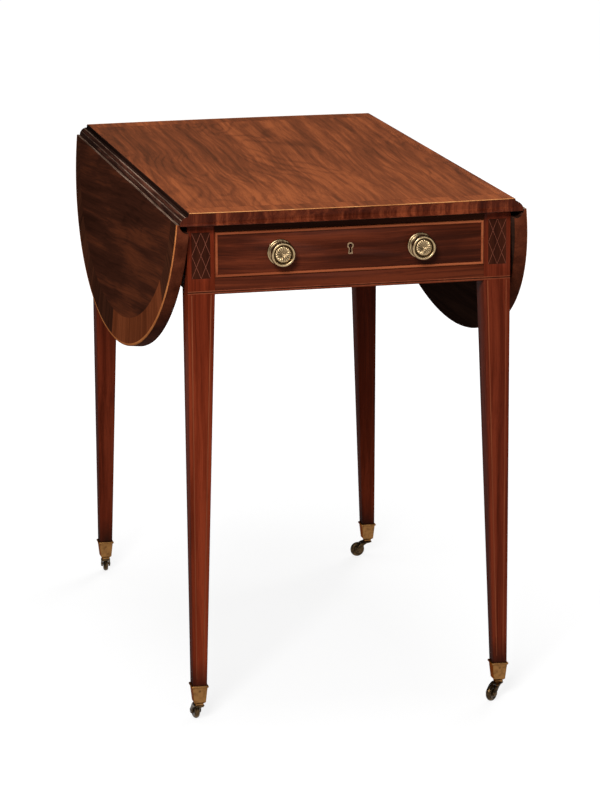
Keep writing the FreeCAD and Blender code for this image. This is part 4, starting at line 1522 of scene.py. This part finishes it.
@dataclass
class Caster:
    """One swivelling caster in millimetres about its pivot: horn with pin and axle, and a round wheel."""

    end: End
    side: Side
    heading: float
    trail: float = 16.5
    wheel: float = 11.5
    plate_top: float = 24.1
    plate_low: float = 21.6
    arm_back: float = -3.2
    plate_back: float = -6.0
    shoulder: float = 5.6
    crown: Pair = (8.6, 22.9)
    throat: Pair = (3.4, 20.5)
    heel: float = 1.1
    web_gap: float = 0.7
    web_turns: tuple[float, ...] = (126.0, 131.0, 136.0, 141.0, 145.0)
    inner: float = 4.4
    outer: float = 7.2
    overlap: float = 0.4
    rounding: float = 1.5
    near: float = 0.01
    eye: float = 4.6
    eye_start: float = 29.0
    eye_step: float = 23.0
    eye_count: int = 11
    arm_steps: int = 8
    front_end: Pair = (2.2, 3.4)
    front_bow: Pair = (0.75, 1.5)
    back_end: Pair = (-4.1, 0.8)
    back_bow: Pair = (0.0, 1.28)
    axle: float = 1.8
    axle_proud: float = 0.3
    pin: float = 2.0
    pin_top: float = 29.4
    rod_count: int = 32
    tread: float = 8.0
    crest: float = 11.49
    half_width: float = 3.9
    tread_steps: int = 6
    wheel_count: int = 72
    horn_sharp: float = 35.0
    wheel_sharp: float = 40.0

    @property
    def corner(self) -> str:
        """Corner's name in the solids' names."""
        return f"{self.end.word}_{self.side.word}"

    def set_under(self, piece: Piece) -> Piece:
        """Scales a piece to metres, turns it to its heading and sets it under its leg.

        Args:
            piece: The piece, in millimetres about the pivot.

        Returns:
            The same piece.
        """
        foot = Matrix.Translation((self.side.value * TABLE.foot_x, self.end.value * TABLE.foot_y, 0.0))
        turn = Matrix.Rotation(math.radians(self.heading), 4, "Z")
        piece.data.transform(foot @ turn @ Matrix.Scale(MM, 4))
        return piece

    def build(self) -> None:
        """Makes the caster."""
        seat(self.set_under(self.horn()), "caster_" + self.corner, "brass", "caster_horn_" + self.corner)
        seat(self.set_under(self.roller()), "wheel_" + self.corner, "brass", "caster_wheel_" + self.corner)

    def about_axle(self, radius: float, rise: float, turn: float) -> Point:
        """Vertex of a form turned about the axle."""
        return (self.trail + radius * math.cos(turn), rise, self.wheel + radius * math.sin(turn))

    def arm_side(self, start: Pair, stop: Pair, bow: Pair, steps: int) -> list[Pair]:
        """Bowed side of an arm, without its start.

        Args:
            start: Where it starts.
            stop: Where its full number of steps would end.
            bow: How far its middle is pushed out.
            steps: Number of steps taken.

        Returns:
            The points in turn.
        """
        points = []
        for i in range(1, steps + 1):
            share = i / self.arm_steps
            push = math.sin(math.pi * share)
            points.append((start[0] + (stop[0] - start[0]) * share + bow[0] * push,
                           start[1] + (stop[1] - start[1]) * share + bow[1] * push))
        return points

    def arm(self) -> list[Pair]:
        """Outline of one arm in the plane of the wheel, from the plate's back round the eye.

        Returns:
            The points in turn.
        """
        top = (self.shoulder, self.plate_top)
        front = (self.trail + self.front_end[0], self.wheel + self.front_end[1])
        back = (self.trail + self.back_end[0], self.wheel + self.back_end[1])
        points = [(self.arm_back, self.plate_low), (self.arm_back, self.plate_top), top]
        points += self.arm_side(top, front, self.front_bow, self.arm_steps)
        for i in range(self.eye_count):
            x, _, z = self.about_axle(self.eye, 0.0, math.radians(self.eye_start - self.eye_step * i))
            points.append((x, z))
        return points + self.arm_side(back, (self.heel, self.plate_low), self.back_bow, self.arm_steps - 1)

    def bridge(self) -> list[Pair]:
        """Outline of the plate between the arms, with the web that follows the wheel.

        Returns:
            The points in turn.
        """
        points = [(self.plate_back, self.plate_low), (self.plate_back, self.plate_top),
                  (self.shoulder, self.plate_top), self.crown]
        for angle in self.web_turns:
            x, _, z = self.about_axle(self.wheel + self.web_gap, 0.0, math.radians(angle))
            points.append((x, z))
        return points + [self.throat, (self.heel, self.plate_low)]

    def horn(self) -> Piece:
        """Forked horn with its plate, web, axle and pin.

        Returns:
            The horn.
        """
        shape = Shape()
        half = self.inner + self.overlap
        for outline, low, high in ((self.arm(), self.inner, self.outer),
                                   (self.arm(), -self.outer, -self.inner), (self.bridge(), -half, half)):
            shape.loft([shape.add((x, y, z) for x, z in outline) for y in (low, high)], Finish.DARK_BRASS)
        reach = self.outer + self.axle_proud
        shape.lathe([(self.axle, -reach), (self.axle, reach)], self.rod_count, self.about_axle,
                    Finish.DARK_BRASS)
        shape.lathe([(self.pin, self.plate_top - self.overlap), (self.pin, self.pin_top)], self.rod_count,
                    lambda r, h, a: (r * math.cos(a), r * math.sin(a), h), Finish.DARK_BRASS)
        made = shape.build("horn_" + self.corner, self.horn_sharp)
        self.round_cheeks(made)
        return made

    def round_cheeks(self, piece: Piece) -> None:
        """Rounds the outer edges of the horn's arms.

        Args:
            piece: The horn.
        """
        work = bmesh.new()
        work.from_mesh(piece.data)
        rims = [edge for edge in work.edges
                if all(abs(abs(vertex.co.y) - self.outer) < self.near for vertex in edge.verts)]
        bmesh.ops.bevel(work, geom=rims, offset=self.rounding, segments=4, profile=0.5, affect="EDGES",
                        clamp_overlap=True)
        work.to_mesh(piece.data)
        work.free()
        shade(piece.data, EASED_SHARP)

    def roller(self) -> Piece:
        """Wheel with a hub, shallow dished sides and a round tread.

        Returns:
            The wheel.
        """
        half = [(1.87, 3.8), (2.1, 4.0), (4.0, 4.0), (4.4, 3.7), (5.0, 3.4), (6.4, 3.4), (7.0, 3.7)]
        for i in range(self.tread_steps + 1):
            turn = math.pi / 2.0 * i / self.tread_steps
            half.append((self.tread + (self.crest - self.tread) * math.sin(turn),
                         self.half_width * math.cos(turn)))
        profile = [(radius, -rise) for radius, rise in half] + half[-2::-1]
        shape = Shape()
        shape.lathe(profile, self.wheel_count, self.about_axle, Finish.DARK_BRASS, endless=True)
        return shape.build("roller_" + self.corner, self.wheel_sharp)


@dataclass(frozen=True)
class Lamp:
    """Soft square lamp: its name, place, target, side and power in watts."""

    name: str
    place: Point
    target: Point
    size: float
    power: float

    def build(self) -> None:
        """Hangs the lamp and points it at its target."""
        data = bpy.data.lights.new(self.name, "AREA")
        data.size = self.size
        data.energy = self.power
        made = link(self.name, data)
        made.location = self.place
        made.rotation_euler = (Vector(self.target) - Vector(self.place)).to_track_quat("-Z", "Y").to_euler()


@dataclass
class Studio:
    """Pale floor, soft lamps and the camera of the photograph."""

    eye: Point = (-1.064, -4.6784, 1.494)
    heading: float = 13.019
    pitch: float = 13.367
    roll: float = -0.335
    lens: float = 151.56
    sensor: float = 36.0
    floor_half: float = 30.0
    surround: float = 0.06
    lamps: tuple[Lamp, ...] = (
        Lamp("key_lamp", (-1.3, -3.1, 2.4), (0.0, 0.0, 0.5), 1.0, 118.0),
        Lamp("top_lamp", (0.0, 0.2, 3.4), (0.0, 0.0, 0.7), 2.0, 50.0),
        Lamp("low_lamp", (0.5, -3.4, 0.9), (0.0, 0.3, 0.4), 1.0, 12.0),
        Lamp("left_lamp", (-3.4, 0.4, 1.8), (0.0, 0.0, 0.5), 1.6, 8.0),
        Lamp("back_lamp", (2.6, 3.0, 2.2), (0.0, 0.0, 0.5), 1.8, 60.0),
    )

    def build(self) -> None:
        """Makes the studio."""
        self.floor()
        self.world()
        for lamp in self.lamps:
            lamp.build()
        self.camera()
        bpy.context.scene.view_settings.view_transform = "Standard"

    def floor(self) -> None:
        """Lays the floor."""
        shape = Shape()
        far = self.floor_half
        corners = [(-far, -far, 0.0), (far, -far, 0.0), (far, far, 0.0), (-far, far, 0.0)]
        shape.face(shape.add(corners), Finish.FLOOR)
        shape.build("floor")

    def world(self) -> None:
        """Sets even pale light all round."""
        world = bpy.data.worlds.new("studio")
        world.use_nodes = True
        back = world.node_tree.nodes["Background"]
        back.inputs["Color"].default_value = (*WHITE, 1.0)
        back.inputs["Strength"].default_value = self.surround
        bpy.context.scene.world = world

    def camera(self) -> None:
        """Sets the camera fitted to the photograph."""
        data = bpy.data.cameras.new("camera")
        data.lens = self.lens
        data.sensor_width = self.sensor
        made = link("camera", data)
        made.location = self.eye
        turn = Matrix.Rotation(math.radians(-self.heading), 4, "Z")
        tilt = Matrix.Rotation(math.radians(90.0 - self.pitch), 4, "X")
        lean = Matrix.Rotation(math.radians(self.roll), 4, "Z")
        made.rotation_euler = (turn @ tilt @ lean).to_euler()
        bpy.context.scene.camera = made


# Rest headings of the casters in degrees about the upright
HEADINGS: dict[tuple[End, Side], float] = {
    (End.FRONT, Side.LEFT): 96.0,
    (End.FRONT, Side.RIGHT): 222.0,
    (End.BACK, Side.LEFT): 80.0,
    (End.BACK, Side.RIGHT): 186.0,
}


def main() -> None:
    """Builds and dresses every sub-assembly, then the studio."""
    logging.basicConfig(level=logging.INFO, format="%(message)s")
    BedBoard().build()
    for side in Side:
        DropLeaf(side).build()
    for assembly in (Frame(), DrawerEnd(), Knobs(), LeafHinges(), Cups()):
        assembly.build()
    for (end, side), heading in HEADINGS.items():
        Caster(end, side, heading).build()
    Studio().build()


if __name__ == "__main__":
    main()
